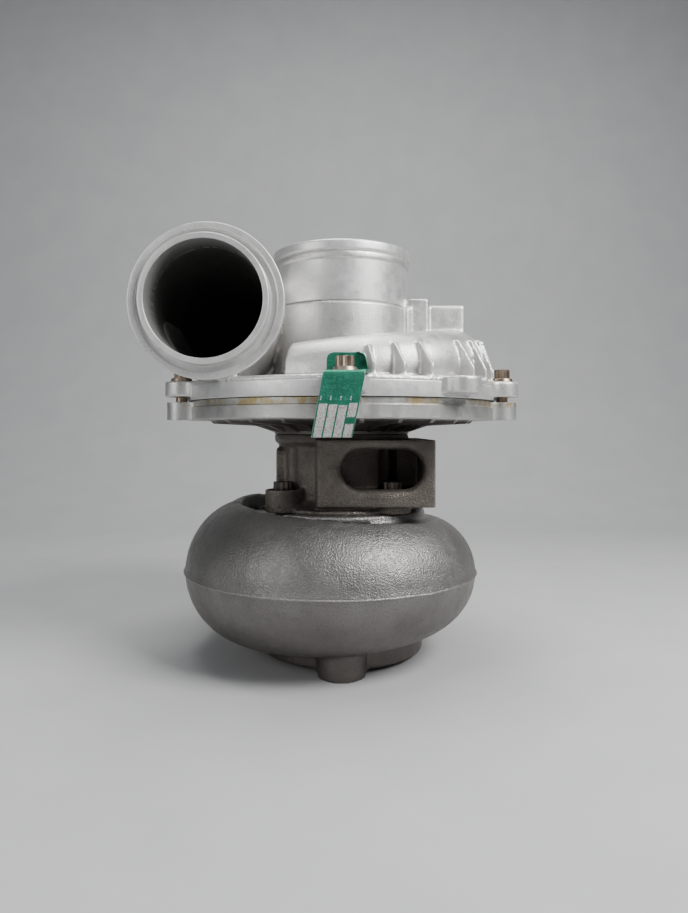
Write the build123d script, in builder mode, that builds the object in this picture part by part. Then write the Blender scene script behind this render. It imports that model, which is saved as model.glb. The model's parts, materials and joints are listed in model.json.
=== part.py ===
"""A large oil-cooled turbocharger, standing on its turbine outlet with the shaft upright.

Row frame: Z is the shaft axis, pointing from the turbine to the compressor. Z = 0 is the plane of the
outlet bosses that the turbocharger stands on. The compressor outlet faces -Y, the turbine inlet
faces +Y, and the oil drain faces +X. Every size is in millimetres.
"""

from build123d import *
import math
import os

# ---------------------------------------------------------------- driving dimensions
# Heights along the shaft, from the floor up.
OUTLET_RING_Z = 3.5
SCROLL_MID_Z = 64.0
NOZZLE_LOW_Z = 56.5
NOZZLE_HIGH_Z = 71.5
SHIELD_SEAT_Z = 90.0
SHIELD_TOP_Z = 91.5
TURBINE_SEAT_Z = 110.0
LUG_TOP_Z = 127.0
CORE_TOP_Z = 167.0
BACKPLATE_LOW_Z = 177.0
BACKPLATE_RIM_Z = 190.5
COVER_LOW_Z = 191.0
DIFFUSER_LOW_Z = 192.5
DIFFUSER_HIGH_Z = 198.5
COVER_FLANGE_Z = 204.5
INLET_STEP_Z = 261.0
INLET_BEAD_Z = 291.0
INLET_TOP_Z = 298.0

# Compressor side.
WHEEL_TIP_R = 49.0
INDUCER_R = 34.5
INDUCER_TOP_Z = 236.0
SHROUD_TURN_Z = 222.0
SHROUD_CENTRE_R = 50.0
WHEEL_CLEARANCE = 0.45
COVER_FLANGE_R = 117.6
SPIGOT_R = 104.0
DIFFUSER_R = 84.0
INLET_R = 50.8
INLET_BORE_R = 45.8
BEAD_R = 52.75
EAR_COUNT = 5
EAR_CIRCLE_R = 122.0
EAR_R = 11.6
COVER_EAR_LOW_Z = 193.5

EAR_FIRST_ANGLE = 271.0
SPARE_PAD_ANGLE = 310.0
SCROLL_FIRST_ANGLE = 247.5
PASSAGE_FIRST_ANGLE = 253.0
SCROLL_LAST_ANGLE = 540.0
SCROLL_SECTIONS = 9
COVER_STEP_Z = 201.3
COVER_RIB_TURNS = (10, 20, 30, 50, 60, 70, 80, 90, 100, 110, 120)
CREST_START_Z = 228.0
CREST_RISE = 42.0
PASSAGE_START_R = 10.0
PASSAGE_START_Z = 204.6
SCROLL_COVER_WALL = 4.5
SPOT_FACE_DEPTH = 10.0
RIB_THICKNESS = 2.6
THROAT_LOW_Z = 194.5
THROAT_WIDTH = 11.0
SENSOR_BLOCKS = ((45.6, 65.8, -20.0, 5.0, 268.7), (66.6, 93.9, -12.0, 12.0, 264.9))

# Compressor outlet pipe: it rises from the scroll to the outlet face.
PIPE_X = -88.0
PIPE_ROOT_Z = 246.0
PIPE_MOUTH_Z = 253.7
PIPE_FACE_Y = -92.0
PIPE_STRAIGHT_Y = -74.0
PIPE_BORE_R = 38.0
PIPE_R = 43.0
LIP_R = 42.0
LIP_LENGTH = 9.0
OUTLET_FLANGE_R = 51.2

# Backplate, its seal insert and its fixings.
BACKPLATE_R = 117.0
BACKPLATE_BAND_Z = 186.5
HUB_R = 52.0
HUB_RIB_COUNT = 24
WHEEL_POCKET_R = 50.5
WHEEL_POCKET_Z = 191.3
INSERT_R = 31.9
INSERT_BOSS_R = 22.0
INSERT_STEP_Z = 172.0
INSERT_TOP_Z = 191.0
INSERT_RING_Z = 182.0
DEFLECTOR_Z = 163.6
SCREW_COUNT = 6
SCREW_CIRCLE_R = 42.0
SCREW_R = 3.0
SCREW_HEAD_R = 5.0
SCREW_HEAD_HEIGHT = 6.0
SCREW_END_Z = 152.0
O_RING_R = 109.0
O_RING_WIDTH = 2.8
O_RING_GROOVE_DEPTH = 2.0
PLATE_WIDTH = 25.7
PLATE_THICKNESS = 1.0

# Bearing housing.
CORE_R = 47.0
CORE_FLANGE_R = 51.6
CORE_PILOT_R = 48.9
TURBINE_LUG_CIRCLE_R = 56.0
TURBINE_LUG_R = 13.0
TURBINE_LUG_FIRST_ANGLE = 221.0
LUG_SEAT_Z = 122.5
BARREL_LOW_Z = 116.0
POCKET_LOW_Z = 127.5
POCKET_HIGH_Z = 157.0
CAVITY_R = 34.0
CAVITY_LOW_Z = 96.0
CAVITY_HIGH_Z = 150.0
BEARING_TUBE_R = 20.0
THRUST_SEAT_Z = 156.6
THRUST_SEAT_R = 32.0
COLLAR_POCKET_Z = 153.45
DRAIN_HALF_WIDTH = 24.0
BEARING_BORE_R = 12.5
PEDESTAL_LEFT_X = -18.0
DRAIN_FACE_X = 65.3
PEDESTAL_HALF_Y = 60.0
PEDESTAL_LOW_Z = 116.0
PEDESTAL_TOP_Z = 163.0
PEDESTAL_WALL = 8.0
WINDOW_MID_X = 28.5
WINDOW_MID_Z = 142.3
WINDOW_LENGTH = 57.0
WINDOW_HEIGHT = 28.0
DRAIN_PORT_SIZE = (40.0, 24.0)
DRAIN_BOLT_SPACING = (92.0, 20.0)
WINDOW_ROUNDING = 5.0
OIL_PAD_X = -49.0
OIL_PAD_SIZE = (44.0, 28.0)
OIL_PORT_Z = 142.5
OIL_PORT_R = 6.5
OIL_PORT_DEPTH = 12.0
OIL_BOLT_SPACING = 30.0
OIL_GALLERY_R = 27.0
NOSE_Z = 77.0
FOOT_FLANGE_R = 58.5
TUBE_LOW_Z = 99.5
COLLAR_POCKET_R = 16.5
SCALLOP_R = 10.5

# Rotor.
JOURNAL_R = 8.0
STUB_R = 5.5
SEAL_BOSS_R = 12.2
TURBINE_TIP_R = 45.0
TURBINE_BLADES = 11
TURBINE_NOSE_Z = 25.0
TURBINE_NOSE_R = 9.5
TURBINE_RIM_Z = 69.5
TURBINE_BACK_Z = 71.5
WHEEL_NOSE_R = 9.0
WHEEL_RIM_Z = 193.6
WHEEL_BACK_Z = 192.0
COLLAR_R = 15.0
COLLAR_LOW_Z = 153.5
SLEEVE_R = 10.2
SLEEVE_LOW_Z = 160.6
SLINGER_R = 13.0
SHAFT_TOP_Z = 247.0
RING_DEPTH = 1.5
RING_WIDTH = 1.6
RING_THICKNESS = 1.6
RING_GROOVE = 2.0
SHAFT_RING_Z = 83.5
SLEEVE_RING_Z = 180.5
SEAL_GAP = 0.3
COMPRESSOR_BLADES = 7

# Turbine housing. A collar row is angle, centre radius, centre height and radius of the swelling that
# carries the scroll's crest on round the recess, behind the inlet duct.
SCROLL_START_R = 120.0
SCROLL_SHRINK_PER_TURN = 38.0
SCROLL_START_SECTION_R = 54.0
SCROLL_SECTION_SHRINK_PER_TURN = 26.4
SCROLL_WALL = 6.0
SCROLL_INNER_R = 52.0
DIVIDER = 6.0
OUTLET_BORE_R = 41.0
OUTLET_RING_R = 62.0
FOOT_COUNT = 3
FOOT_BOLT_DEPTH = 18.0
TURBINE_BOLT_DEPTH = 20.0
DIVIDER_INNER_R = 58.0
SEAM_HEIGHT = 0.9
SEAM_WIDTH = 1.8
SHROUD_TURBINE_R = 37.9
SHROUD_TURBINE_Z = 46.0
SEAT_R = 64.0
RECESS_R = 77.0
RECESS_Z = 104.0
COLLAR_ROWS = ((190, 75, 97, 20), (170, 76, 97, 20), (150, 76, 97, 20), (130, 76, 92, 19), (112, 75, 85, 17))
FOOT_CIRCLE_R = 59.0
FOOT_R = 17.0
TURBINE_FLANGE_MID = (-68.0, 64.0)
TURBINE_FLANGE_SIZE = (96.0, 66.0)
TURBINE_FLANGE_Y = (80.0, 95.0)
TURBINE_PORT_SIZE = (60.0, 50.0)
TURBINE_BOLT_SPACING = (80.0, 48.0)

# Journal bearings and the rings that hold them.
BEARING_LENGTH = 12.0
BEARING_LOW_Z = (102.0, 140.0)
CIRCLIP_THICKNESS = 1.2
CIRCLIP_R = 13.3
CIRCLIP_INNER_R = 10.5
RUNNING_GAP = 0.05

# Fasteners.
THREAD_GAP = 0.05
M8_R = 4.0
M8_TAP_R = 3.4
M8_CLEAR_R = 4.5
M10_R = 5.0
M10_TAP_R = 4.25
M10_CLEAR_R = 5.25
BOLT_HEAD_R = 5.6
BOLT_FLANGE_R = 7.9
TURBINE_BOLT_HEAD_R = 7.2
TURBINE_BOLT_FLANGE_R = 8.8


# ---------------------------------------------------------------- shared helpers
def finish(piece, node):
    """Labels a finished piece and writes it as one STEP file."""
    piece.part.label = node
    export_step(piece.part, f"parts/{node}.step")


def polar(radius, angle, height=0.0):
    """The point at this radius, angle in degrees from +X, and height."""
    turn = math.radians(angle)
    return (radius * math.cos(turn), radius * math.sin(turn), height)


def radial_plane(angle, origin=(0, 0, 0)):
    """The upright plane through the shaft axis at this angle: its x is the radius, its y the height."""
    turn = math.radians(angle)
    outward = (math.cos(turn), math.sin(turn), 0)
    return Plane(origin=origin, x_dir=outward, z_dir=(math.sin(turn), -math.cos(turn), 0))


def solid_between(radius, low, high, x=0.0, y=0.0):
    """A plain upright cylinder from one height to another."""
    with BuildPart(Plane((x, y, low))) as rod:
        Cylinder(radius, high - low, align=(Align.CENTER, Align.CENTER, Align.MIN))
    return rod.part


def slab(x_range, y_range, z_range):
    """A plain box between two corners."""
    size = [high - low for low, high in (x_range, y_range, z_range)]
    with BuildPart(Plane((x_range[0], y_range[0], z_range[0]))) as block:
        Box(*size, align=(Align.MIN, Align.MIN, Align.MIN))
    return block.part


def scroll_of_circles(rows):
    """A loft through upright circles, each given by its angle, centre radius, centre height and radius."""
    with BuildPart() as scroll:
        for angle, centre_r, centre_z, radius in rows:
            with BuildSketch(radial_plane(angle)):
                with Locations((centre_r, centre_z)):
                    Circle(radius)
        loft()
    return scroll.part


# ---------------------------------------------------------------- compressor cover
def scroll_share(angle):
    """How far round the compressor scroll this angle is, from 0 at its start to 1 at the outlet pipe."""
    return (angle - SCROLL_FIRST_ANGLE) / (SCROLL_LAST_ANGLE - SCROLL_FIRST_ANGLE)


def passage_radius(share):
    """The air passage opens out evenly from the scroll's start to the bore of the pipe."""
    return PASSAGE_START_R + (PIPE_BORE_R - PASSAGE_START_R) * share


def passage_centre(share):
    """Radius and height of the middle of the air passage, which climbs as it grows."""
    return (84.0 - share * (84.0 + PIPE_X), PASSAGE_START_Z + (PIPE_ROOT_Z - PASSAGE_START_Z) * share)


def crest_height(share):
    """Height of the scroll's crest, which ends just under the top of the outlet pipe."""
    last = PIPE_ROOT_Z + passage_radius(1) + SCROLL_COVER_WALL
    return CREST_START_Z + CREST_RISE * share + (last - CREST_START_Z - CREST_RISE) * share * share


def scroll_wall_radius(share):
    """Outer radius of the scroll's wall."""
    return passage_centre(share)[0] + passage_radius(share) + SCROLL_COVER_WALL


def cover_scroll_body():
    """The outside of the compressor scroll: a hump with a rounded crest, tucked in above the flange."""
    inner = 44.0
    base = 194.0
    with BuildPart() as body:
        for step in range(SCROLL_SECTIONS):
            share = step / (SCROLL_SECTIONS - 1)
            angle = SCROLL_FIRST_ANGLE + (SCROLL_LAST_ANGLE - SCROLL_FIRST_ANGLE) * share
            mid_r, mid_z = passage_centre(share)
            top = crest_height(share)
            wall = scroll_wall_radius(share)
            crest = mid_r - 2.0 * (1 - share)
            tuck = 20.0 + 35.0 * share
            tuck_r = mid_r + (wall - mid_r) * math.cos(math.radians(tuck))
            tuck_z = mid_z - (wall - mid_r) * math.sin(math.radians(tuck))
            inner_drop = 5.0 + 19.0 * share
            with BuildSketch(radial_plane(angle)):
                with BuildLine():
                    Polyline((inner, top - inner_drop), (inner, base), (tuck_r, base), (tuck_r, tuck_z))
                    CenterArc((mid_r, mid_z), wall - mid_r, -tuck, tuck)
                    EllipticalCenterArc((crest, mid_z), wall - crest, top - mid_z, 0, arc_size=90)
                    shoulder = (crest, top - inner_drop)
                    EllipticalCenterArc(shoulder, crest - inner, inner_drop, 90, arc_size=90)
                make_face()
        loft()
    return body.part


def passage_angles():
    """Evenly spaced angles from the start of the air passage to the outlet pipe."""
    turn = (SCROLL_LAST_ANGLE - PASSAGE_FIRST_ANGLE) / (SCROLL_SECTIONS - 1)
    return [PASSAGE_FIRST_ANGLE + turn * step for step in range(SCROLL_SECTIONS)]


def cover_passage():
    """The air passage round the scroll, up to where the pipe's own bore takes over."""
    rows = []
    for angle in passage_angles():
        share = scroll_share(angle)
        rows.append((angle, *passage_centre(share), passage_radius(share)))
    return scroll_of_circles(rows)


def cover_throat():
    """The slot that carries air up from the rim of the diffuser into the passage above it."""
    with BuildPart() as throat:
        for angle in passage_angles():
            mid_z = passage_centre(scroll_share(angle))[1]
            with BuildSketch(radial_plane(angle)):
                with Locations((DIFFUSER_R - 4.0, (mid_z + THROAT_LOW_Z) / 2)):
                    Rectangle(THROAT_WIDTH, mid_z - THROAT_LOW_Z)
        loft()
    return throat.part


def outlet_pipe(radius, end_y):
    """A round pipe that leaves the scroll along -Y, climbs gently and runs straight to end_y."""
    with BuildPart() as pipe:
        with BuildLine():
            Spline(
                (PIPE_X, 0, PIPE_ROOT_Z),
                (PIPE_X, PIPE_STRAIGHT_Y, PIPE_MOUTH_Z),
                tangents=((0, -1, 0), (0, -1, 0)),
            )
            Line((PIPE_X, PIPE_STRAIGHT_Y, PIPE_MOUTH_Z), (PIPE_X, end_y, PIPE_MOUTH_Z))
        with BuildSketch(Plane((PIPE_X, 0, PIPE_ROOT_Z), x_dir=(1, 0, 0), z_dir=(0, -1, 0))):
            Circle(radius)
        sweep()
    return pipe.part


def outlet_flange():
    """The outlet's clamp flange: a coned back, a proud outer ring, a seal groove and a locating lip."""
    mouth = Plane((PIPE_X, PIPE_FACE_Y, PIPE_MOUTH_Z), x_dir=(1, 0, 0), z_dir=(0, 0, 1))
    with BuildPart() as flange:
        with BuildSketch(mouth):
            with BuildLine():
                Polyline(
                    (PIPE_BORE_R - 5.0, -LIP_LENGTH),
                    (LIP_R - 0.6, -LIP_LENGTH),
                    (LIP_R, -LIP_LENGTH + 0.6),
                    (LIP_R, 3.0),
                    (46.7, 3.0),
                    (46.7, 0.0),
                    (OUTLET_FLANGE_R - 0.7, 0.0),
                    (OUTLET_FLANGE_R, 0.7),
                    (OUTLET_FLANGE_R, 7.0),
                    (45.0, 10.5),
                    (PIPE_R, 15.0),
                    (PIPE_BORE_R - 5.0, 15.0),
                    close=True,
                )
            make_face()
        revolve(axis=Axis((PIPE_X, PIPE_FACE_Y, PIPE_MOUTH_Z), (0, 1, 0)))
    return flange.part


def eared_disc(disc_r, ear_r, ear_angles, blend_r, low, high):
    """A disc with round bolt ears blended into its edge."""
    with BuildPart() as plate:
        with BuildSketch(Plane.XY.offset(low)) as outline:
            Circle(disc_r)
            with Locations(*[polar(EAR_CIRCLE_R, angle) for angle in ear_angles]):
                Circle(ear_r)
            fillet(outline.vertices(), blend_r)
        extrude(amount=high - low)
    return plate.part


def cover_ribs():
    """Thin upright ribs between the scroll's wall and the edge of the flange."""
    with BuildPart() as ribs:
        for turn in COVER_RIB_TURNS:
            share = scroll_share(270.0 + turn)
            wall = scroll_wall_radius(share)
            top = crest_height(share) - 8.0
            edge = COVER_FLANGE_R - 0.9
            with BuildSketch(radial_plane(270.0 + turn)):
                with BuildLine():
                    Polyline(
                        (wall - 12, 202),
                        (edge, 202),
                        (edge, 212),
                        (wall - 2, top),
                        (wall - 12, top),
                        close=True,
                    )
                make_face()
            extrude(amount=RIB_THICKNESS / 2, both=True)
    return ribs.part


def inlet_tube():
    """The straight air inlet with a rounded hose bead, and a slightly fatter foot below a fine step."""
    with BuildPart() as tube:
        with BuildSketch(Plane.XZ) as outline:
            with BuildLine():
                Polyline(
                    (20.0, 200.0),
                    (INLET_R + 0.8, 200.0),
                    (INLET_R + 0.8, INLET_STEP_Z),
                    (INLET_R, INLET_STEP_Z + 0.4),
                    (INLET_R, INLET_BEAD_Z),
                    (BEAD_R, INLET_BEAD_Z),
                    (BEAD_R, INLET_TOP_Z),
                    (20.0, INLET_TOP_Z),
                    close=True,
                )
            make_face()
            fillet(outline.vertices().sort_by(Axis.X)[-2:], 1.8)
        revolve(axis=Axis.Z)
    return tube.part


def inlet_bore():
    """The air path from the inlet's mouth down to the wheel and out along the diffuser."""
    with BuildPart() as bore:
        with BuildSketch(Plane.XZ):
            with BuildLine():
                Polyline(
                    (SHROUD_CENTRE_R, DIFFUSER_HIGH_Z),
                    (DIFFUSER_R + 2.0, DIFFUSER_HIGH_Z),
                    (DIFFUSER_R + 2.0, COVER_LOW_Z - 1.0),
                    (0.0, COVER_LOW_Z - 1.0),
                    (0.0, INLET_TOP_Z + 1.0),
                    (INLET_BORE_R + 1.5, INLET_TOP_Z + 1.0),
                    (INLET_BORE_R, INLET_TOP_Z - 2.0),
                    (INLET_BORE_R, INLET_STEP_Z + 9.0),
                    (INDUCER_R + WHEEL_CLEARANCE, INDUCER_TOP_Z + 3.0),
                    (INDUCER_R + WHEEL_CLEARANCE, SHROUD_TURN_Z),
                )
                EllipticalCenterArc(
                    (SHROUD_CENTRE_R, SHROUD_TURN_Z),
                    SHROUD_CENTRE_R - INDUCER_R - WHEEL_CLEARANCE,
                    SHROUD_TURN_Z - DIFFUSER_HIGH_Z,
                    180,
                    arc_size=90,
                )
            make_face()
        revolve(axis=Axis.Z)
    return bore.part


def sensor_block(x_low, x_high, y_low, y_high, top):
    """One rectangular boss on the scroll beside the inlet, with soft cast corners."""
    root = 225.0
    with BuildPart() as block:
        with BuildSketch(Plane.XY.offset(root)) as foot:
            with Locations(((x_low + x_high) / 2, (y_low + y_high) / 2)):
                Rectangle(x_high - x_low, y_high - y_low)
            fillet(foot.vertices(), 2.0)
        extrude(amount=top - root)
        fillet(block.faces().sort_by(Axis.Z)[-1].edges(), 1.2)
    return block.part


def cover_ear_angles():
    """The bolt ears that the cover and the backplate share."""
    return [EAR_FIRST_ANGLE + 360 / EAR_COUNT * i for i in range(EAR_COUNT)]


def make_compressor_cover():
    ear_angles = cover_ear_angles()
    scroll = cover_scroll_body()
    passage = cover_passage()
    throat = cover_throat()
    pipe = outlet_pipe(PIPE_R, PIPE_FACE_Y + 10.0)
    pipe_bore = outlet_pipe(PIPE_BORE_R, PIPE_FACE_Y - LIP_LENGTH - 1.0)
    flange = outlet_flange()
    lobe_angles = ear_angles + [SPARE_PAD_ANGLE]
    ears = eared_disc(COVER_FLANGE_R - 0.6, EAR_R, lobe_angles, 8.0, COVER_EAR_LOW_Z, COVER_FLANGE_Z)
    ribs = cover_ribs()
    tube = inlet_tube()
    bore = inlet_bore()
    blocks = [sensor_block(*size) for size in SENSOR_BLOCKS]
    rib = solid_between(3.6, 215, INLET_STEP_Z + 0.6, 48.5, -19.0)
    recess = solid_between(SPIGOT_R + 0.05, COVER_LOW_Z - 1, DIFFUSER_LOW_Z)
    with BuildPart() as cover:
        with BuildSketch(Plane.XY.offset(COVER_LOW_Z)):
            Circle(COVER_FLANGE_R)
        extrude(amount=COVER_STEP_Z - COVER_LOW_Z)
        with BuildSketch(Plane.XY.offset(COVER_STEP_Z)):
            Circle(COVER_FLANGE_R - 0.6)
        extrude(amount=COVER_FLANGE_Z - COVER_STEP_Z)
        add(ears)
        add(scroll)
        add(pipe)
        add(flange)
        add(tube)
        add(ribs)
        add(blocks)
        add(rib)
        add(passage, mode=Mode.SUBTRACT)
        add(throat, mode=Mode.SUBTRACT)
        add(pipe_bore, mode=Mode.SUBTRACT)
        add(bore, mode=Mode.SUBTRACT)
        add(recess, mode=Mode.SUBTRACT)
        with BuildSketch(Plane.XY.offset(COVER_FLANGE_Z)):
            with Locations(*[polar(EAR_CIRCLE_R, angle) for angle in ear_angles]):
                Circle(BOLT_FLANGE_R + 0.8)
        extrude(amount=SPOT_FACE_DEPTH, mode=Mode.SUBTRACT)
        with Locations(*[polar(EAR_CIRCLE_R, angle, COVER_FLANGE_Z) for angle in ear_angles]):
            Hole(M8_CLEAR_R, depth=COVER_FLANGE_Z - COVER_LOW_Z + 1.0)
    finish(cover, "compressor_cover")


# ---------------------------------------------------------------- compressor backplate and its fixings
def hub_ribs():
    """Radial ribs under the plate, running out from the hub."""
    with BuildPart() as ribs:
        for step in range(HUB_RIB_COUNT):
            with BuildSketch(radial_plane(360 / HUB_RIB_COUNT * (step + 0.5))):
                with BuildLine():
                    Polyline(
                        (48, 168.5),
                        (53, 168.5),
                        (66, 173.0),
                        (98, 174.6),
                        (102, 178),
                        (48, 178),
                        close=True,
                    )
                make_face()
            extrude(amount=1.5, both=True)
    return ribs.part


def make_compressor_backplate():
    ear_angles = cover_ear_angles()
    ear_top = BACKPLATE_RIM_Z - 1.0
    ears = eared_disc(BACKPLATE_R - 3.5, EAR_R - 1.4, ear_angles, 10.0, BACKPLATE_LOW_Z, ear_top)
    ribs = hub_ribs()
    bore = solid_between(INSERT_BOSS_R + 0.05, CORE_TOP_Z - 1, DIFFUSER_LOW_Z)
    insert_seat = solid_between(INSERT_R + 0.1, CORE_TOP_Z - 1, INSERT_STEP_Z)
    with BuildPart() as plate:
        with BuildSketch(Plane.XZ):
            with BuildLine():
                Polyline(
                    (10.0, CORE_TOP_Z),
                    (HUB_R, CORE_TOP_Z),
                    (HUB_R, CORE_TOP_Z + 2.0),
                    (57.0, 173.0),
                    (67.0, 176.2),
                    (78.0, BACKPLATE_LOW_Z),
                    (BACKPLATE_R - 0.8, BACKPLATE_LOW_Z),
                    (BACKPLATE_R, BACKPLATE_LOW_Z + 0.8),
                    (BACKPLATE_R, BACKPLATE_BAND_Z - 0.6),
                    (BACKPLATE_R - 1.2, BACKPLATE_BAND_Z),
                    (BACKPLATE_R - 1.2, BACKPLATE_RIM_Z),
                    (SPIGOT_R, BACKPLATE_RIM_Z),
                    (SPIGOT_R, DIFFUSER_LOW_Z),
                    (WHEEL_POCKET_R, DIFFUSER_LOW_Z),
                    (WHEEL_POCKET_R, WHEEL_POCKET_Z),
                    (10.0, WHEEL_POCKET_Z),
                    close=True,
                )
            make_face()
        revolve(axis=Axis.Z)
        add(ears)
        add(ribs)
        add(bore, mode=Mode.SUBTRACT)
        add(insert_seat, mode=Mode.SUBTRACT)
        with BuildSketch(Plane.XY.offset(BACKPLATE_RIM_Z)):
            Circle(O_RING_R + O_RING_WIDTH / 2)
            Circle(O_RING_R - O_RING_WIDTH / 2, mode=Mode.SUBTRACT)
        extrude(amount=-O_RING_GROOVE_DEPTH, mode=Mode.SUBTRACT)
        with Locations(*[polar(EAR_CIRCLE_R, angle, BACKPLATE_RIM_Z) for angle in ear_angles]):
            Hole(M8_R + THREAD_GAP)
        with Locations(Location((0, 0, WHEEL_POCKET_Z))):
            with PolarLocations(SCREW_CIRCLE_R, SCREW_COUNT):
                CounterBoreHole(SCREW_R + 0.3, SCREW_HEAD_R + 0.4, SCREW_HEAD_HEIGHT + 0.8)
    finish(plate, "compressor_backplate")


def make_cover_o_ring():
    """The seal between backplate and cover, squashed flat into its groove."""
    with BuildPart() as ring:
        with BuildSketch(Plane.XY.offset(BACKPLATE_RIM_Z - O_RING_GROOVE_DEPTH)):
            Circle(O_RING_R + O_RING_WIDTH / 2 - 0.1)
            Circle(O_RING_R - O_RING_WIDTH / 2 + 0.1, mode=Mode.SUBTRACT)
        extrude(amount=COVER_LOW_Z - BACKPLATE_RIM_Z + O_RING_GROOVE_DEPTH)
    finish(ring, "cover_o_ring")


def make_backplate_screws():
    """Six socket-head cap screws that hold the backplate to the bearing housing."""
    seat = WHEEL_POCKET_Z - SCREW_HEAD_HEIGHT - 0.8
    with BuildPart() as screws:
        with Locations(Location((0, 0, seat))):
            with PolarLocations(SCREW_CIRCLE_R, SCREW_COUNT):
                Cylinder(SCREW_HEAD_R, SCREW_HEAD_HEIGHT, align=(Align.CENTER, Align.CENTER, Align.MIN))
                Cylinder(SCREW_R, seat - SCREW_END_Z, align=(Align.CENTER, Align.CENTER, Align.MAX))
        with BuildSketch(Plane.XY.offset(seat + SCREW_HEAD_HEIGHT)):
            with PolarLocations(SCREW_CIRCLE_R, SCREW_COUNT):
                RegularPolygon(2.9, 6)
        extrude(amount=-3.0, mode=Mode.SUBTRACT)
        top_edges = screws.faces().filter_by(Plane.XY).group_by(Axis.Z)[-1].edges()
        chamfer([edge for edge in top_edges if edge.geom_type == GeomType.CIRCLE], 0.5)
    finish(screws, "backplate_screws")


# ---------------------------------------------------------------- twelve-point flange bolts
def twelve_point_bolt(head_r, head_height, flange_r, flange_height, shank_r, length):
    """A twelve-point flange bolt with its seat at Z = 0 and its shank pointing down."""
    with BuildPart() as bolt:
        with BuildSketch():
            Circle(flange_r)
        extrude(amount=flange_height, taper=18)
        with BuildSketch(Plane.XY.offset(flange_height)):
            RegularPolygon(head_r, 6)
            RegularPolygon(head_r, 6, rotation=30)
        extrude(amount=head_height - flange_height)
        dish = bolt.faces().sort_by(Axis.Z)[-1]
        with Locations(dish):
            Hole(head_r * 0.45, depth=1.2)
        with BuildSketch():
            Circle(shank_r)
        extrude(amount=-length)
        chamfer(bolt.faces().sort_by(Axis.Z)[0].edges(), 0.6)
    return bolt.part


def make_bolts(node, bolt, places):
    """Identical bolts, one at each place."""
    with BuildPart() as group:
        with Locations(*places):
            add(bolt)
    finish(group, node)


def make_cover_bolts():
    places = [polar(EAR_CIRCLE_R, angle, COVER_FLANGE_Z) for angle in cover_ear_angles()]
    places[0] = polar(EAR_CIRCLE_R, EAR_FIRST_ANGLE, COVER_FLANGE_Z + PLATE_THICKNESS)
    bolt = twelve_point_bolt(BOLT_HEAD_R, 9.0, BOLT_FLANGE_R, 2.4, M8_R, 24.0)
    make_bolts("cover_bolts", bolt, places)


def make_turbine_housing_bolts():
    places = [polar(TURBINE_LUG_CIRCLE_R, angle, LUG_SEAT_Z) for angle in turbine_lug_angles()]
    bolt = twelve_point_bolt(TURBINE_BOLT_HEAD_R, 10.0, TURBINE_BOLT_FLANGE_R, 2.6, M10_R, 30.0)
    make_bolts("turbine_housing_bolts", bolt, places)


def turbine_lug_angles():
    """The four bolts between the bearing housing and the turbine housing."""
    return [TURBINE_LUG_FIRST_ANGLE + 90 * i for i in range(4)]


# ---------------------------------------------------------------- nameplate
def make_nameplate():
    """A thin plate under the front cover bolt: a tab behind the bolt, and a strip hanging in front."""
    seat_x, seat_y, seat_z = polar(EAR_CIRCLE_R, EAR_FIRST_ANGLE, COVER_FLANGE_Z)
    middle = seat_z + PLATE_THICKNESS / 2
    front = seat_y - EAR_R - 1.6
    back = seat_y + BOLT_FLANGE_R + 1.6
    low = 166.0
    with BuildPart() as side:
        with BuildSketch(Plane.YZ.offset(-PLATE_WIDTH)):
            with BuildLine():
                FilletPolyline(
                    (back, middle + 13.0),
                    (back, middle),
                    (front, middle),
                    (front - 0.5, 178.0),
                    (front + 5.5, low),
                    radius=1.5,
                )
            trace(line_width=PLATE_THICKNESS)
        extrude(amount=2 * PLATE_WIDTH)
    tab_left = seat_x - 11.4
    tab_right = tab_left + PLATE_WIDTH
    with BuildPart() as plate:
        with BuildSketch(Plane.XZ.offset(-back - 5)) as outline:
            with BuildLine():
                Polyline(
                    (tab_left, middle + 13.0),
                    (tab_left, seat_z + 4.0),
                    (tab_left - 2.7, seat_z - 4.0),
                    (tab_left - 8.5, 176.0),
                    (tab_left - 9.0, low - 2.0),
                    (tab_right - 11.5, low - 2.0),
                    (tab_right - 7.4, 176.0),
                    (tab_right - 2.7, seat_z - 4.0),
                    (tab_right, seat_z + 4.0),
                    (tab_right, middle + 13.0),
                    close=True,
                )
            make_face()
            fillet(outline.vertices().group_by(Axis.Y)[-1], 4.0)
        extrude(amount=60)
        add(side.part, mode=Mode.INTERSECT)
        with Locations((seat_x, seat_y, seat_z + PLATE_THICKNESS)):
            Hole(M8_R + 0.2)
        with BuildSketch(Plane.XZ.offset(-back - 5)):
            with Locations((seat_x - 8.3, seat_z + 9.4)):
                Circle(1.9)
        extrude(amount=10, mode=Mode.SUBTRACT)
    finish(plate, "nameplate")


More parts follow.
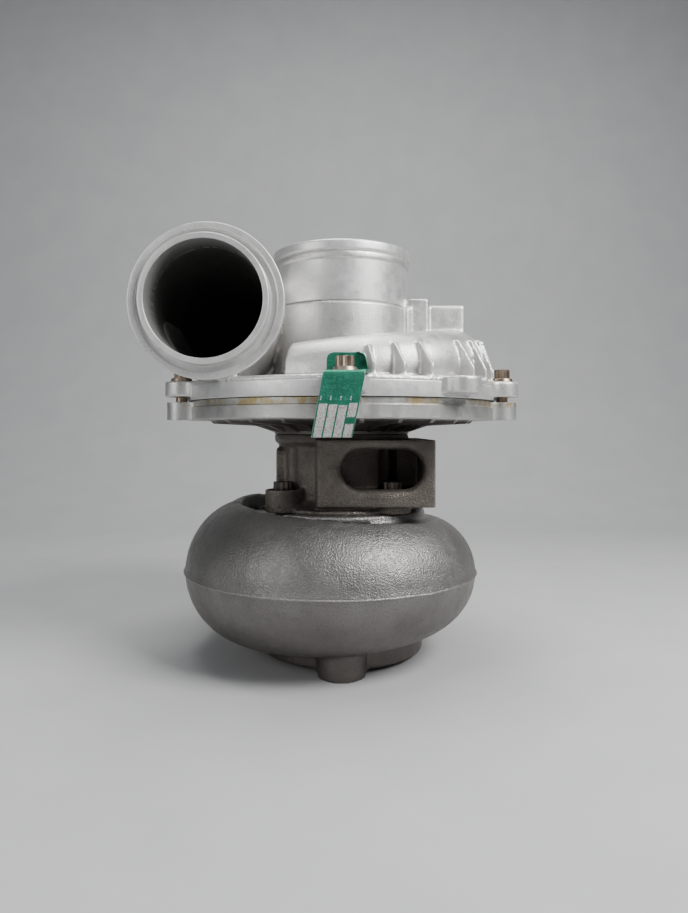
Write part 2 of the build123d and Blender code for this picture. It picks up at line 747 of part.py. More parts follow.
# ---------------------------------------------------------------- bearing housing
def pedestal():
    """The open-sided box beside the barrel: two windowed walls, a floor, a roof and the drain face."""
    with BuildPart() as box:
        with BuildSketch(Plane.XY.offset(PEDESTAL_LOW_Z)) as foot:
            with Locations(((PEDESTAL_LEFT_X + DRAIN_FACE_X) / 2, 0)):
                Rectangle(DRAIN_FACE_X - PEDESTAL_LEFT_X, 2 * PEDESTAL_HALF_Y)
            fillet(foot.vertices().group_by(Axis.X)[0], 4.0)
        extrude(amount=PEDESTAL_TOP_Z - PEDESTAL_LOW_Z)
        with BuildSketch(Plane.XY.offset(POCKET_LOW_Z)):
            with Locations((WINDOW_MID_X, 0)):
                Rectangle(WINDOW_LENGTH, 2 * (PEDESTAL_HALF_Y - PEDESTAL_WALL))
        extrude(amount=POCKET_HIGH_Z - POCKET_LOW_Z, mode=Mode.SUBTRACT)
        with BuildSketch(Plane.XZ.offset(-PEDESTAL_HALF_Y - 1)):
            with Locations((WINDOW_MID_X, WINDOW_MID_Z)):
                SlotOverall(WINDOW_LENGTH, WINDOW_HEIGHT)
        extrude(amount=2 * PEDESTAL_HALF_Y + 2, mode=Mode.SUBTRACT)
        rims = box.edges().filter_by(lambda edge: abs(abs(edge.center().Y) - PEDESTAL_HALF_Y) < 0.01)
        inside = [edge for edge in rims if window_edge(edge)]
        fillet(inside, WINDOW_ROUNDING)
    return box.part


def window_edge(edge):
    """Whether this edge runs round a window, away from the pedestal's own corners."""
    box = edge.bounding_box()
    clear_of_sides = box.min.X > PEDESTAL_LEFT_X + 8 and box.max.X < DRAIN_FACE_X - 2
    return clear_of_sides and box.min.Z > PEDESTAL_LOW_Z + 5 and box.max.Z < PEDESTAL_TOP_Z - 2


def barrel():
    """The round core of the housing, from the turbine-side nose up to the backplate joint."""
    with BuildPart() as body:
        with BuildSketch(Plane.XZ):
            with BuildLine():
                Polyline(
                    (0.0, NOSE_Z),
                    (22.0, NOSE_Z),
                    (27.0, SHIELD_TOP_Z),
                    (CORE_PILOT_R, SHIELD_TOP_Z),
                    (CORE_PILOT_R, TURBINE_SEAT_Z),
                    (FOOT_FLANGE_R, TURBINE_SEAT_Z),
                    (FOOT_FLANGE_R, TURBINE_SEAT_Z + 2.6),
                    (CORE_R + 4.0, BARREL_LOW_Z),
                    (CORE_R, BARREL_LOW_Z + 4.0),
                    (CORE_R, 157.5),
                    (CORE_FLANGE_R, 161.5),
                    (CORE_FLANGE_R, CORE_TOP_Z),
                    (0.0, CORE_TOP_Z),
                    close=True,
                )
            make_face()
        revolve(axis=Axis.Z)
    return body.part


def turbine_lugs():
    """Four bolt lugs that reach down from the barrel onto the turbine housing."""
    with BuildPart() as lugs:
        for angle in turbine_lug_angles():
            with BuildSketch(Plane.XY.offset(TURBINE_SEAT_Z + 0.6)) as foot:
                with Locations(polar(TURBINE_LUG_CIRCLE_R, angle)):
                    Circle(TURBINE_LUG_R)
                with Locations(Location(polar(TURBINE_LUG_CIRCLE_R - 10, angle), angle)):
                    Rectangle(20, 2 * TURBINE_LUG_R)
            extrude(amount=LUG_TOP_Z - TURBINE_SEAT_Z - 0.6)
    return lugs.part


def oil_cavity():
    """The hollow round the bearing tube, which drains away along +X; a web is left for the oil feed."""
    web = slab((-CAVITY_R - 2, -BEARING_TUBE_R + 3), (-8, 8), (CAVITY_LOW_Z - 1, CAVITY_HIGH_Z + 1))
    with BuildPart() as cavity:
        with BuildSketch(Plane.XZ):
            with BuildLine():
                Polyline(
                    (0.0, CAVITY_LOW_Z),
                    (CAVITY_R - 2.0, CAVITY_LOW_Z),
                    (CAVITY_R, CAVITY_LOW_Z + 2.0),
                    (CAVITY_R, CAVITY_HIGH_Z - 2.0),
                    (CAVITY_R - 2.0, CAVITY_HIGH_Z),
                    (BEARING_TUBE_R, CAVITY_HIGH_Z),
                    (BEARING_TUBE_R, TUBE_LOW_Z),
                    (0.0, TUBE_LOW_Z),
                    close=True,
                )
            make_face()
        revolve(axis=Axis.Z)
        add(web, mode=Mode.SUBTRACT)
        with BuildSketch(Plane.YZ.offset(BEARING_TUBE_R + 3.0)):
            with Locations((0, WINDOW_MID_Z - 1.0)):
                RectangleRounded(*DRAIN_PORT_SIZE, 6.0)
        extrude(amount=DRAIN_FACE_X)
    return cavity.part


def bearing_bore():
    """The stepped bore for the seal, both journal bearings, the thrust collar and the seal insert."""
    with BuildPart() as bore:
        with BuildSketch(Plane.XZ):
            with BuildLine():
                Polyline(
                    (0.0, NOSE_Z - 1.0),
                    (BEARING_BORE_R, NOSE_Z - 1.0),
                    (BEARING_BORE_R, BEARING_LOW_Z[0] + BEARING_LENGTH + 3.0),
                    (BEARING_BORE_R + 1.5, BEARING_LOW_Z[0] + BEARING_LENGTH + 4.5),
                    (BEARING_BORE_R + 1.5, BEARING_LOW_Z[1] - 4.5),
                    (BEARING_BORE_R, BEARING_LOW_Z[1] - 3.0),
                    (BEARING_BORE_R, COLLAR_POCKET_Z),
                    (COLLAR_POCKET_R, COLLAR_POCKET_Z),
                    (COLLAR_POCKET_R, THRUST_SEAT_Z),
                    (THRUST_SEAT_R, THRUST_SEAT_Z),
                    (THRUST_SEAT_R, CORE_TOP_Z + 1.0),
                    (0.0, CORE_TOP_Z + 1.0),
                    close=True,
                )
            make_face()
        revolve(axis=Axis.Z)
        for low in circlip_heights():
            with BuildSketch(Plane.XY.offset(low)):
                Circle(CIRCLIP_R)
            extrude(amount=CIRCLIP_THICKNESS)
    return bore.part


def circlip_heights():
    """Lower faces of the four rings that hold the two journal bearings in place."""
    below = [low - CIRCLIP_THICKNESS - 0.2 for low in BEARING_LOW_Z]
    above = [low + BEARING_LENGTH + 0.2 for low in BEARING_LOW_Z]
    return below + above


def oil_feed():
    """The feed drilling from the oil inlet, and the gallery that serves both journal bearings."""
    with BuildPart() as feed:
        with BuildSketch(Plane.YZ.offset(OIL_PAD_X - 3)):
            with Locations((0, OIL_PORT_Z)):
                Circle(OIL_PORT_R)
        extrude(amount=OIL_PORT_DEPTH + 3)
        with BuildSketch(Plane.YZ.offset(OIL_PAD_X)):
            with Locations((0, OIL_PORT_Z)):
                Circle(3.0)
        extrude(amount=-OIL_PAD_X - OIL_GALLERY_R)
        with BuildSketch(Plane.XY.offset(BEARING_LOW_Z[0] + BEARING_LENGTH / 2)):
            with Locations((-OIL_GALLERY_R, 0)):
                Circle(2.0)
        extrude(amount=THRUST_SEAT_Z + 1 - BEARING_LOW_Z[0] - BEARING_LENGTH / 2)
        for low in BEARING_LOW_Z:
            with BuildSketch(Plane.YZ.offset(-OIL_GALLERY_R)):
                with Locations((0, low + BEARING_LENGTH / 2)):
                    Circle(1.8)
            extrude(amount=OIL_GALLERY_R - BEARING_BORE_R + 1)
    return feed.part


def oil_inlet_pad():
    """The flat pad on the left of the barrel that the oil feed flange bolts to."""
    with BuildPart() as pad:
        with BuildSketch(Plane.YZ.offset(OIL_PAD_X)):
            with Locations((0, OIL_PORT_Z)):
                RectangleRounded(*OIL_PAD_SIZE, 5.0)
        extrude(amount=20)
    return pad.part


def make_bearing_housing():
    box = pedestal()
    core = barrel()
    lugs = turbine_lugs()
    cavity = oil_cavity()
    bore = bearing_bore()
    feed = oil_feed()
    pad = oil_inlet_pad()
    duct_width = (-DRAIN_HALF_WIDTH, DRAIN_HALF_WIDTH)
    duct = slab((BEARING_TUBE_R, DRAIN_FACE_X - 1), duct_width, (PEDESTAL_LOW_Z + 1, PEDESTAL_TOP_Z - 3))
    drain_bolt_depth = DRAIN_FACE_X - WINDOW_MID_X - WINDOW_LENGTH / 2 + 0.5
    with BuildPart() as housing:
        add(box)
        add(core)
        add(lugs)
        add(duct)
        add(pad)
        for angle in turbine_lug_angles():
            with BuildSketch(Plane.XY.offset(LUG_SEAT_Z)):
                with Locations(polar(TURBINE_LUG_CIRCLE_R, angle)):
                    Circle(SCALLOP_R)
            extrude(amount=POCKET_HIGH_Z - LUG_SEAT_Z, mode=Mode.SUBTRACT)
            with BuildSketch(Plane.XY.offset(TURBINE_SEAT_Z - 1)):
                with Locations(polar(TURBINE_LUG_CIRCLE_R, angle)):
                    Circle(M10_CLEAR_R)
            extrude(amount=LUG_SEAT_Z - TURBINE_SEAT_Z + 2, mode=Mode.SUBTRACT)
        add(bore, mode=Mode.SUBTRACT)
        add(cavity, mode=Mode.SUBTRACT)
        add(feed, mode=Mode.SUBTRACT)
        with Locations(Location((0, 0, CORE_TOP_Z))):
            with PolarLocations(SCREW_CIRCLE_R, SCREW_COUNT):
                Hole(SCREW_R + THREAD_GAP, depth=CORE_TOP_Z - SCREW_END_Z + 3)
        with Locations(Plane((DRAIN_FACE_X, 0, WINDOW_MID_Z - 1.0), x_dir=(0, 1, 0), z_dir=(1, 0, 0))):
            with GridLocations(*DRAIN_BOLT_SPACING, 2, 2):
                Hole(M8_TAP_R, depth=drain_bolt_depth)
        with Locations(Plane((OIL_PAD_X, 0, OIL_PORT_Z), x_dir=(0, -1, 0), z_dir=(-1, 0, 0))):
            with GridLocations(OIL_BOLT_SPACING, 0, 2, 1):
                Hole(M8_TAP_R, depth=OIL_PORT_DEPTH)
    finish(housing, "bearing_housing")


# ---------------------------------------------------------------- turbine housing
def turbine_scroll_rows(first, last, wall):
    """Loft rows of the turbine scroll between two angles: the scroll tightens as the gas flows round."""
    rows = []
    count = 6
    for step in range(count):
        angle = first + (last - first) * step / (count - 1)
        turns = (angle - 180) / 360
        outer = SCROLL_START_R - SCROLL_SHRINK_PER_TURN * turns
        radius = SCROLL_START_SECTION_R - SCROLL_SECTION_SHRINK_PER_TURN * turns
        rows.append((angle, outer - radius, SCROLL_MID_Z, radius - wall))
    return rows


def turbine_duct(section_r, end_size):
    """The straight inlet duct: round where it joins the scroll, rectangular at the flange."""
    start_x = -(SCROLL_START_R - SCROLL_START_SECTION_R)
    with BuildPart() as duct:
        with BuildSketch(Plane.XZ):
            with Locations((start_x, SCROLL_MID_Z)):
                Circle(section_r)
        with BuildSketch(Plane.XZ.offset(-TURBINE_FLANGE_Y[1])):
            with Locations(TURBINE_FLANGE_MID):
                RectangleRounded(*end_size, 10.0)
        loft()
    return duct.part


def seam_outline():
    """A thin raised line round the scroll, where the two halves of its mould met."""
    first, last = 180, 470
    points = []
    for angle in range(first, last + 1, 10):
        outer = SCROLL_START_R - SCROLL_SHRINK_PER_TURN * (angle - 180) / 360 + SEAM_HEIGHT
        points.append(polar(outer, angle)[:2])
    with BuildPart() as seam:
        with BuildSketch(Plane.XY.offset(SCROLL_MID_Z - SEAM_WIDTH / 2)):
            with BuildLine():
                Spline(*points)
                Polyline(points[-1], (0, 0), points[0])
            make_face()
        extrude(amount=SEAM_WIDTH)
    return seam.part


def turbine_wheel_space():
    """The gas path inside the housing: from the nozzle slot, over the wheel and out at the bottom."""
    with BuildPart() as space:
        with BuildSketch(Plane.XZ):
            with BuildLine():
                Polyline(
                    (SHROUD_TURBINE_R, SHROUD_TURBINE_Z),
                    (SHROUD_TURBINE_R, 33.0),
                    (OUTLET_BORE_R, 18.0),
                    (OUTLET_BORE_R, OUTLET_RING_Z - 1.0),
                    (0.0, OUTLET_RING_Z - 1.0),
                    (0.0, TURBINE_SEAT_Z + 1.0),
                    (CORE_PILOT_R + 0.1, TURBINE_SEAT_Z + 1.0),
                    (CORE_PILOT_R + 0.1, SHIELD_SEAT_Z),
                    (46.5, SHIELD_SEAT_Z),
                    (46.5, NOZZLE_HIGH_Z),
                    (SCROLL_INNER_R + 2.0, NOZZLE_HIGH_Z),
                    (SCROLL_INNER_R + 2.0, NOZZLE_LOW_Z),
                    (TURBINE_TIP_R + 0.5, NOZZLE_LOW_Z),
                )
                EllipticalCenterArc(
                    (TURBINE_TIP_R + 0.5, SHROUD_TURBINE_Z),
                    TURBINE_TIP_R + 0.5 - SHROUD_TURBINE_R,
                    NOZZLE_LOW_Z - SHROUD_TURBINE_Z,
                    90,
                    arc_size=90,
                )
            make_face()
        revolve(axis=Axis.Z)
    return space.part


def hollowed(passage, divider_inner_r):
    """A gas passage clear of the solid middle, and split in two by the divider wall."""
    middle = solid_between(SCROLL_INNER_R, 0, 130)
    divider = slab((-140, 140), (-140, 140), (SCROLL_MID_Z - DIVIDER / 2, SCROLL_MID_Z + DIVIDER / 2))
    opening = solid_between(divider_inner_r, 0, 130)
    with BuildPart() as wall:
        add(divider)
        add(opening, mode=Mode.SUBTRACT)
    with BuildPart() as hollow:
        add(passage)
        add(middle, mode=Mode.SUBTRACT)
        add(wall.part, mode=Mode.SUBTRACT)
    return hollow.part


def make_turbine_housing():
    first_half = scroll_of_circles(turbine_scroll_rows(180, 360, 0))
    second_half = scroll_of_circles(turbine_scroll_rows(360, 500, 0))
    duct = turbine_duct(SCROLL_START_SECTION_R, (TURBINE_FLANGE_SIZE[0] - 16, TURBINE_FLANGE_SIZE[1] - 4))
    first_hollow = hollowed(scroll_of_circles(turbine_scroll_rows(180, 360, SCROLL_WALL)), DIVIDER_INNER_R)
    second_hollow = hollowed(scroll_of_circles(turbine_scroll_rows(360, 470, SCROLL_WALL)), DIVIDER_INNER_R)
    duct_bore = turbine_duct(SCROLL_START_SECTION_R - SCROLL_WALL, TURBINE_PORT_SIZE)
    duct_hollow = hollowed(duct_bore, DIVIDER_INNER_R)
    flange_face = (TURBINE_FLANGE_MID[0], TURBINE_FLANGE_Y[1], TURBINE_FLANGE_MID[1])
    collar = scroll_of_circles(COLLAR_ROWS)
    seam = seam_outline()
    space = turbine_wheel_space()
    middle = solid_between(SEAT_R, 20, TURBINE_SEAT_Z)
    outlet = solid_between(OUTLET_RING_R, OUTLET_RING_Z, 40)
    with BuildPart() as housing:
        add(first_half)
        add(second_half)
        add(duct)
        add(middle)
        add(collar)
        add(outlet)
        add(seam)
        with BuildSketch(Plane.XZ.offset(-TURBINE_FLANGE_Y[1])) as flange:
            with Locations(TURBINE_FLANGE_MID):
                Rectangle(*TURBINE_FLANGE_SIZE)
            fillet(flange.vertices(), 9.0)
        extrude(amount=TURBINE_FLANGE_Y[1] - TURBINE_FLANGE_Y[0])
        with BuildSketch():
            with PolarLocations(FOOT_CIRCLE_R, FOOT_COUNT, start_angle=270):
                Circle(FOOT_R)
        extrude(amount=40)
        with BuildSketch(Plane.XY.offset(RECESS_Z)):
            Circle(RECESS_R)
            Circle(SEAT_R, mode=Mode.SUBTRACT)
        extrude(amount=30, mode=Mode.SUBTRACT)
        with BuildSketch(Plane.XY.offset(TURBINE_SEAT_Z)):
            Circle(SEAT_R + 1)
        extrude(amount=30, mode=Mode.SUBTRACT)
        add(first_hollow, mode=Mode.SUBTRACT)
        add(second_hollow, mode=Mode.SUBTRACT)
        add(duct_hollow, mode=Mode.SUBTRACT)
        add(space, mode=Mode.SUBTRACT)
        for angle in turbine_lug_angles():
            with Locations(polar(TURBINE_LUG_CIRCLE_R, angle, TURBINE_SEAT_Z)):
                Hole(M10_R + THREAD_GAP, depth=TURBINE_BOLT_DEPTH)
        with Locations(Plane.XY.rotated((180, 0, 0))):
            with PolarLocations(FOOT_CIRCLE_R, FOOT_COUNT, start_angle=90):
                Hole(M10_TAP_R, depth=FOOT_BOLT_DEPTH)
        with Locations(Plane(flange_face, x_dir=(1, 0, 0), z_dir=(0, 1, 0))):
            with GridLocations(*TURBINE_BOLT_SPACING, 2, 2):
                Hole(M10_CLEAR_R, depth=TURBINE_FLANGE_Y[1] - TURBINE_FLANGE_Y[0] + 2)
    finish(housing, "turbine_housing")


# ---------------------------------------------------------------- rotor
def blade_station(hub, tip, angle, thickness):
    """The plane and size of one thin cross-section of a blade, from the hub out to the tip."""
    turn = math.radians(angle)
    outward = Vector(math.cos(turn), math.sin(turn), 0)
    start = outward * hub[0] + Vector(0, 0, hub[1])
    end = outward * tip[0] + Vector(0, 0, tip[1])
    along = (end - start).normalized()
    around = Vector(-math.sin(turn), math.cos(turn), 0)
    plane = Plane((start + end) / 2, x_dir=along, z_dir=along.cross(around))
    return plane, (end - start).length, thickness


def blade(hubs, tips, angles, thickness):
    """One blade: a loft through thin cross-sections along the gas path."""
    with BuildPart() as vane:
        for hub, tip, angle in zip(hubs, tips, angles):
            plane, length, width = blade_station(hub, tip, angle, thickness)
            with BuildSketch(plane):
                Rectangle(length, width)
        loft()
    return vane.part


def on_ellipse(centre, radii, angle):
    """A point of an upright ellipse in the radial plane, with its angle in degrees from +radius."""
    turn = math.radians(angle)
    return (centre[0] + radii[0] * math.cos(turn), centre[1] + radii[1] * math.sin(turn))


def compressor_hub_point(angle, sink):
    """A point on the compressor hub's flank, sunk a little into the metal so that a blade roots in it."""
    radii = (WHEEL_TIP_R + 2.0 - WHEEL_NOSE_R + sink, INDUCER_TOP_Z - WHEEL_RIM_Z + sink)
    return on_ellipse((WHEEL_TIP_R + 2.0, INDUCER_TOP_Z), radii, angle)


def compressor_tip_point(angle):
    """A point on the blade tips' curve, which follows the cover's shroud at the running clearance."""
    radii = (SHROUD_CENTRE_R - INDUCER_R, SHROUD_TURN_Z - DIFFUSER_HIGH_Z + WHEEL_CLEARANCE)
    return on_ellipse((SHROUD_CENTRE_R, SHROUD_TURN_Z), radii, angle)


def make_compressor_wheel():
    hubs = [compressor_hub_point(angle, 1.2) for angle in (182, 198, 216, 234, 252, 266)]
    shroud_tips = [compressor_tip_point(angle) for angle in (180, 205, 225, 245, 266)]
    tips = [(INDUCER_R, INDUCER_TOP_Z - 0.6), *shroud_tips]
    turns = (0, -22, -38, -48, -57, -66)
    full = blade(hubs, tips, turns, 1.5)
    splitter = blade(hubs[2:], tips[2:], turns[2:], 1.3)
    with BuildPart() as wheel:
        with BuildSketch(Plane.XZ):
            with BuildLine():
                top = (WHEEL_NOSE_R, INDUCER_TOP_Z)
                rim = compressor_hub_point(267.5, 0)
                Polyline(
                    top,
                    (STUB_R + 0.05, INDUCER_TOP_Z),
                    (STUB_R + 0.05, WHEEL_BACK_Z),
                    (WHEEL_TIP_R, WHEEL_BACK_Z),
                    rim,
                )
                Spline(
                    top,
                    *[compressor_hub_point(angle, 0) for angle in (200, 220, 240, 255)],
                    rim,
                    tangents=((0, -1), (1, 0)),
                )
            make_face()
        revolve(axis=Axis.Z)
        with PolarLocations(0, COMPRESSOR_BLADES):
            add(full)
        with PolarLocations(0, COMPRESSOR_BLADES, start_angle=180 / COMPRESSOR_BLADES):
            add(splitter)
        with BuildSketch(Plane.XY.offset(WHEEL_BACK_Z)):
            Circle(2 * WHEEL_TIP_R)
            Circle(WHEEL_TIP_R, mode=Mode.SUBTRACT)
        extrude(amount=60, mode=Mode.SUBTRACT)
        with BuildSketch(Plane.XY.offset(WHEEL_BACK_Z - 10)):
            Circle(STUB_R + 0.05)
        extrude(amount=70, mode=Mode.SUBTRACT)
    finish(wheel, "compressor_wheel")


def turbine_hub_point(angle, sink):
    """A point on the turbine hub's flank, sunk a little into the metal so that a blade roots in it."""
    radii = (TURBINE_TIP_R + 1.0 - TURBINE_NOSE_R + sink, TURBINE_RIM_Z - TURBINE_NOSE_Z - 4.0 + sink)
    return on_ellipse((TURBINE_TIP_R + 1.0, TURBINE_NOSE_Z + 4.0), radii, angle)


def turbine_tip_point(angle):
    """A point on the blade tips' curve, which follows the housing at the running clearance."""
    radii = (TURBINE_TIP_R + 0.95 - SHROUD_TURBINE_R, NOZZLE_LOW_Z - SHROUD_TURBINE_Z + 0.5)
    return on_ellipse((TURBINE_TIP_R + 0.5, SHROUD_TURBINE_Z), radii, angle)


def make_turbine_wheel():
    hubs = [turbine_hub_point(angle, 1.2) for angle in (93, 112, 132, 152, 170)]
    tips = [turbine_tip_point(angle) for angle in (93, 125, 160)]
    tips += [(SHROUD_TURBINE_R - 0.5, 40.0), (SHROUD_TURBINE_R - 0.5, 33.5)]
    full = blade(hubs, tips, (0, 2, -3, -16, -36), 2.2)
    with BuildPart() as wheel:
        with BuildSketch(Plane.XZ):
            with BuildLine():
                low = (TURBINE_NOSE_R, TURBINE_NOSE_Z + 4.0)
                rim = turbine_hub_point(91.5, 0)
                Polyline(
                    low,
                    (TURBINE_NOSE_R - 2.5, TURBINE_NOSE_Z),
                    (0.0, TURBINE_NOSE_Z),
                    (0.0, TURBINE_BACK_Z),
                    (TURBINE_TIP_R, TURBINE_BACK_Z),
                    (TURBINE_TIP_R, rim[1]),
                    rim,
                )
                Spline(
                    rim,
                    *[turbine_hub_point(angle, 0) for angle in (105, 120, 140, 160)],
                    low,
                    tangents=((-1, 0), (0, -1)),
                )
            make_face()
        revolve(axis=Axis.Z)
        with PolarLocations(0, TURBINE_BLADES):
            add(full)
        with BuildSketch(Plane.XY.offset(TURBINE_NOSE_Z)):
            Circle(2 * TURBINE_TIP_R)
            Circle(TURBINE_TIP_R, mode=Mode.SUBTRACT)
        extrude(amount=50, mode=Mode.SUBTRACT)
        with BuildSketch(Plane.XY.offset(TURBINE_NOSE_Z)):
            RegularPolygon(5.5, 6)
        extrude(amount=3, mode=Mode.SUBTRACT)
        with BuildSketch(Plane.XY.offset(TURBINE_BACK_Z)):
            Circle(2 * TURBINE_TIP_R)
        extrude(amount=10, mode=Mode.SUBTRACT)
    finish(wheel, "turbine_wheel")


def turned(node, *corners):
    """A plain turned piece, from its outline of (radius, height) corners."""
    with BuildPart() as piece:
        with BuildSketch(Plane.XZ):
            with BuildLine():
                Polyline(*corners, close=True)
            make_face()
        revolve(axis=Axis.Z)
    finish(piece, node)


def make_rotor_shaft():
    groove = SHAFT_RING_Z
    turned(
        "rotor_shaft",
        (0.0, TURBINE_BACK_Z),
        (SEAL_BOSS_R, TURBINE_BACK_Z),
        (SEAL_BOSS_R, groove),
        (SEAL_BOSS_R - RING_DEPTH, groove),
        (SEAL_BOSS_R - RING_DEPTH, groove + RING_GROOVE),
        (SEAL_BOSS_R, groove + RING_GROOVE),
        (SEAL_BOSS_R, CAVITY_LOW_Z - 1.0),
        (SEAL_BOSS_R - 1.0, CAVITY_LOW_Z),
        (JOURNAL_R, CAVITY_LOW_Z),
        (JOURNAL_R, COLLAR_LOW_Z),
        (STUB_R, COLLAR_LOW_Z),
        (STUB_R, SHAFT_TOP_Z - 1.0),
        (STUB_R - 1.0, SHAFT_TOP_Z),
        (0.0, SHAFT_TOP_Z),
    )


def make_shaft_locknut():
    with BuildPart() as nut:
        with BuildSketch(Plane.XY.offset(INDUCER_TOP_Z)):
            Circle(9.0)
        extrude(amount=1.5)
        with BuildSketch(Plane.XY.offset(INDUCER_TOP_Z + 1.5)):
            RegularPolygon(8.4, 6)
        extrude(amount=7.5)
        chamfer(nut.faces().sort_by(Axis.Z)[-1].edges(), 0.6)
        with BuildSketch(Plane.XY.offset(INDUCER_TOP_Z)):
            Circle(STUB_R + THREAD_GAP)
        extrude(amount=10, mode=Mode.SUBTRACT)
    finish(nut, "shaft_locknut")


def make_thrust_collar():
    turned(
        "thrust_collar",
        (STUB_R + THREAD_GAP, COLLAR_LOW_Z),
        (COLLAR_R, COLLAR_LOW_Z),
        (COLLAR_R, THRUST_SEAT_Z - RUNNING_GAP),
        (JOURNAL_R, THRUST_SEAT_Z - RUNNING_GAP),
        (JOURNAL_R, SLEEVE_LOW_Z),
        (STUB_R + THREAD_GAP, SLEEVE_LOW_Z),
    )


def make_seal_sleeve():
    groove = SLEEVE_RING_Z
    turned(
        "seal_sleeve",
        (STUB_R + THREAD_GAP, SLEEVE_LOW_Z),
        (COLLAR_R, SLEEVE_LOW_Z),
        (COLLAR_R, SLEEVE_LOW_Z + 2.2),
        (SLEEVE_R, SLEEVE_LOW_Z + 2.2),
        (SLEEVE_R, SLEEVE_LOW_Z + 5.0),
        (SLINGER_R, SLEEVE_LOW_Z + 5.0),
        (SLINGER_R, SLEEVE_LOW_Z + 7.0),
        (SLEEVE_R, SLEEVE_LOW_Z + 7.0),
        (SLEEVE_R, groove),
        (SLEEVE_R - RING_DEPTH, groove),
        (SLEEVE_R - RING_DEPTH, groove + RING_GROOVE),
        (SLEEVE_R, groove + RING_GROOVE),
        (SLEEVE_R, WHEEL_BACK_Z),
        (STUB_R + THREAD_GAP, WHEEL_BACK_Z),
    )


def piston_ring(node, inner_r, outer_r, low):
    """A split seal ring that stands still in its bore while the groove turns round it."""
    gap = slab((0, outer_r + 1), (-0.4, 0.4), (low - 1, low + RING_THICKNESS + 1))
    with BuildPart() as ring:
        with BuildSketch(Plane.XY.offset(low)):
            Circle(outer_r)
            Circle(inner_r, mode=Mode.SUBTRACT)
        extrude(amount=RING_THICKNESS)
        add(gap, mode=Mode.SUBTRACT)
    finish(ring, node)


def make_piston_rings():
    clear = (RING_GROOVE - RING_THICKNESS) / 2
    bore = SLEEVE_R + SEAL_GAP
    piston_ring("compressor_piston_ring", bore - RING_WIDTH, bore, SLEEVE_RING_Z + clear)
    piston_ring("turbine_piston_ring", BEARING_BORE_R - RING_WIDTH, BEARING_BORE_R, SHAFT_RING_Z + clear)


# ---------------------------------------------------------------- bearings and seals
def make_journal_bearing(node, low):
    """A floating bearing sleeve with six radial oil holes: it turns slowly between shaft and housing."""
    with BuildPart() as bearing:
        with BuildSketch(Plane.XY.offset(low)):
            Circle(BEARING_BORE_R - RUNNING_GAP)
            Circle(JOURNAL_R + RUNNING_GAP, mode=Mode.SUBTRACT)
        extrude(amount=BEARING_LENGTH)
        chamfer(bearing.edges().filter_by(GeomType.CIRCLE), 0.5)
        with BuildSketch(Plane.XY.offset(low + BEARING_LENGTH / 2 - 1.0)):
            Circle(BEARING_BORE_R)
            Circle(BEARING_BORE_R - 0.8, mode=Mode.SUBTRACT)
        extrude(amount=2.0, mode=Mode.SUBTRACT)
        for step in range(3):
            turn = 60 * step
            around = Plane((0, 0, low + BEARING_LENGTH / 2), x_dir=(0, 0, 1), z_dir=polar(1, turn))
            with BuildSketch(around):
                Circle(1.2)
            extrude(amount=BEARING_BORE_R + 1, both=True, mode=Mode.SUBTRACT)
    finish(bearing, node)


def make_bearing_circlips():
    """Four snap rings, two either side of each journal bearing."""
    with BuildPart() as clips:
        for low in circlip_heights():
            with BuildSketch(Plane.XY.offset(low)):
                Circle(CIRCLIP_R)
                Circle(CIRCLIP_INNER_R, mode=Mode.SUBTRACT)
                with Locations((CIRCLIP_R, 0)):
                    Rectangle(8, 5, mode=Mode.SUBTRACT)
            extrude(amount=CIRCLIP_THICKNESS)
    finish(clips, "bearing_circlips")


def make_thrust_bearing():
    """The fixed thrust plate, with six oil pockets on its upper face and a notch for draining oil."""
    with BuildPart() as plate:
        with BuildSketch(Plane.XY.offset(THRUST_SEAT_Z)):
            Circle(INSERT_R)
            Circle(JOURNAL_R + 0.1, mode=Mode.SUBTRACT)
            with Locations((INSERT_R, 0)):
                Rectangle(16, 20, mode=Mode.SUBTRACT)
        extrude(amount=SLEEVE_LOW_Z - RUNNING_GAP - THRUST_SEAT_Z)
        with BuildSketch(Plane.XY.offset(SLEEVE_LOW_Z - RUNNING_GAP)):
            with PolarLocations(11.5, 6):
                Rectangle(5.0, 1.6)
        extrude(amount=-0.6, mode=Mode.SUBTRACT)
    finish(plate, "thrust_bearing")


def make_oil_deflector():
    with BuildPart() as sheet:
        with BuildSketch(Plane.XY.offset(DEFLECTOR_Z)):
            Circle(INSERT_R)
            Circle(SLEEVE_R + 0.6, mode=Mode.SUBTRACT)
            with Locations((INSERT_R, 0)):
                Rectangle(20, 24, mode=Mode.SUBTRACT)
        extrude(amount=1.0)
    finish(sheet, "oil_deflector")


def make_seal_insert():
    """The plug that closes the top of the bearing housing and seals round the sleeve."""
    with BuildPart() as insert:
        with BuildSketch(Plane.XZ):
            with BuildLine():
                Polyline(
                    (16.0, DEFLECTOR_Z + 1.0),
                    (INSERT_R, DEFLECTOR_Z + 1.0),
                    (INSERT_R, INSERT_STEP_Z),
                    (INSERT_BOSS_R, INSERT_STEP_Z),
                    (INSERT_BOSS_R, INSERT_RING_Z),
                    (INSERT_BOSS_R - 2.0, INSERT_RING_Z),
                    (INSERT_BOSS_R - 2.0, INSERT_RING_Z + 3.0),
                    (INSERT_BOSS_R, INSERT_RING_Z + 3.0),
                    (INSERT_BOSS_R, INSERT_TOP_Z),
                    (SLEEVE_R + SEAL_GAP, INSERT_TOP_Z),
                    (SLEEVE_R + SEAL_GAP, 178.0),
                    (16.0, 174.0),
                    close=True,
                )
            make_face()
        revolve(axis=Axis.Z)
    finish(insert, "seal_insert")


def make_insert_o_ring():
    with BuildPart() as ring:
        with BuildSketch(Plane.XZ) as outline:
            with Locations((INSERT_BOSS_R - 0.975, INSERT_RING_Z + 1.5)):
                Rectangle(1.9, 2.8)
            fillet(outline.vertices(), 0.7)
        revolve(axis=Axis.Z)
    finish(ring, "insert_o_ring")


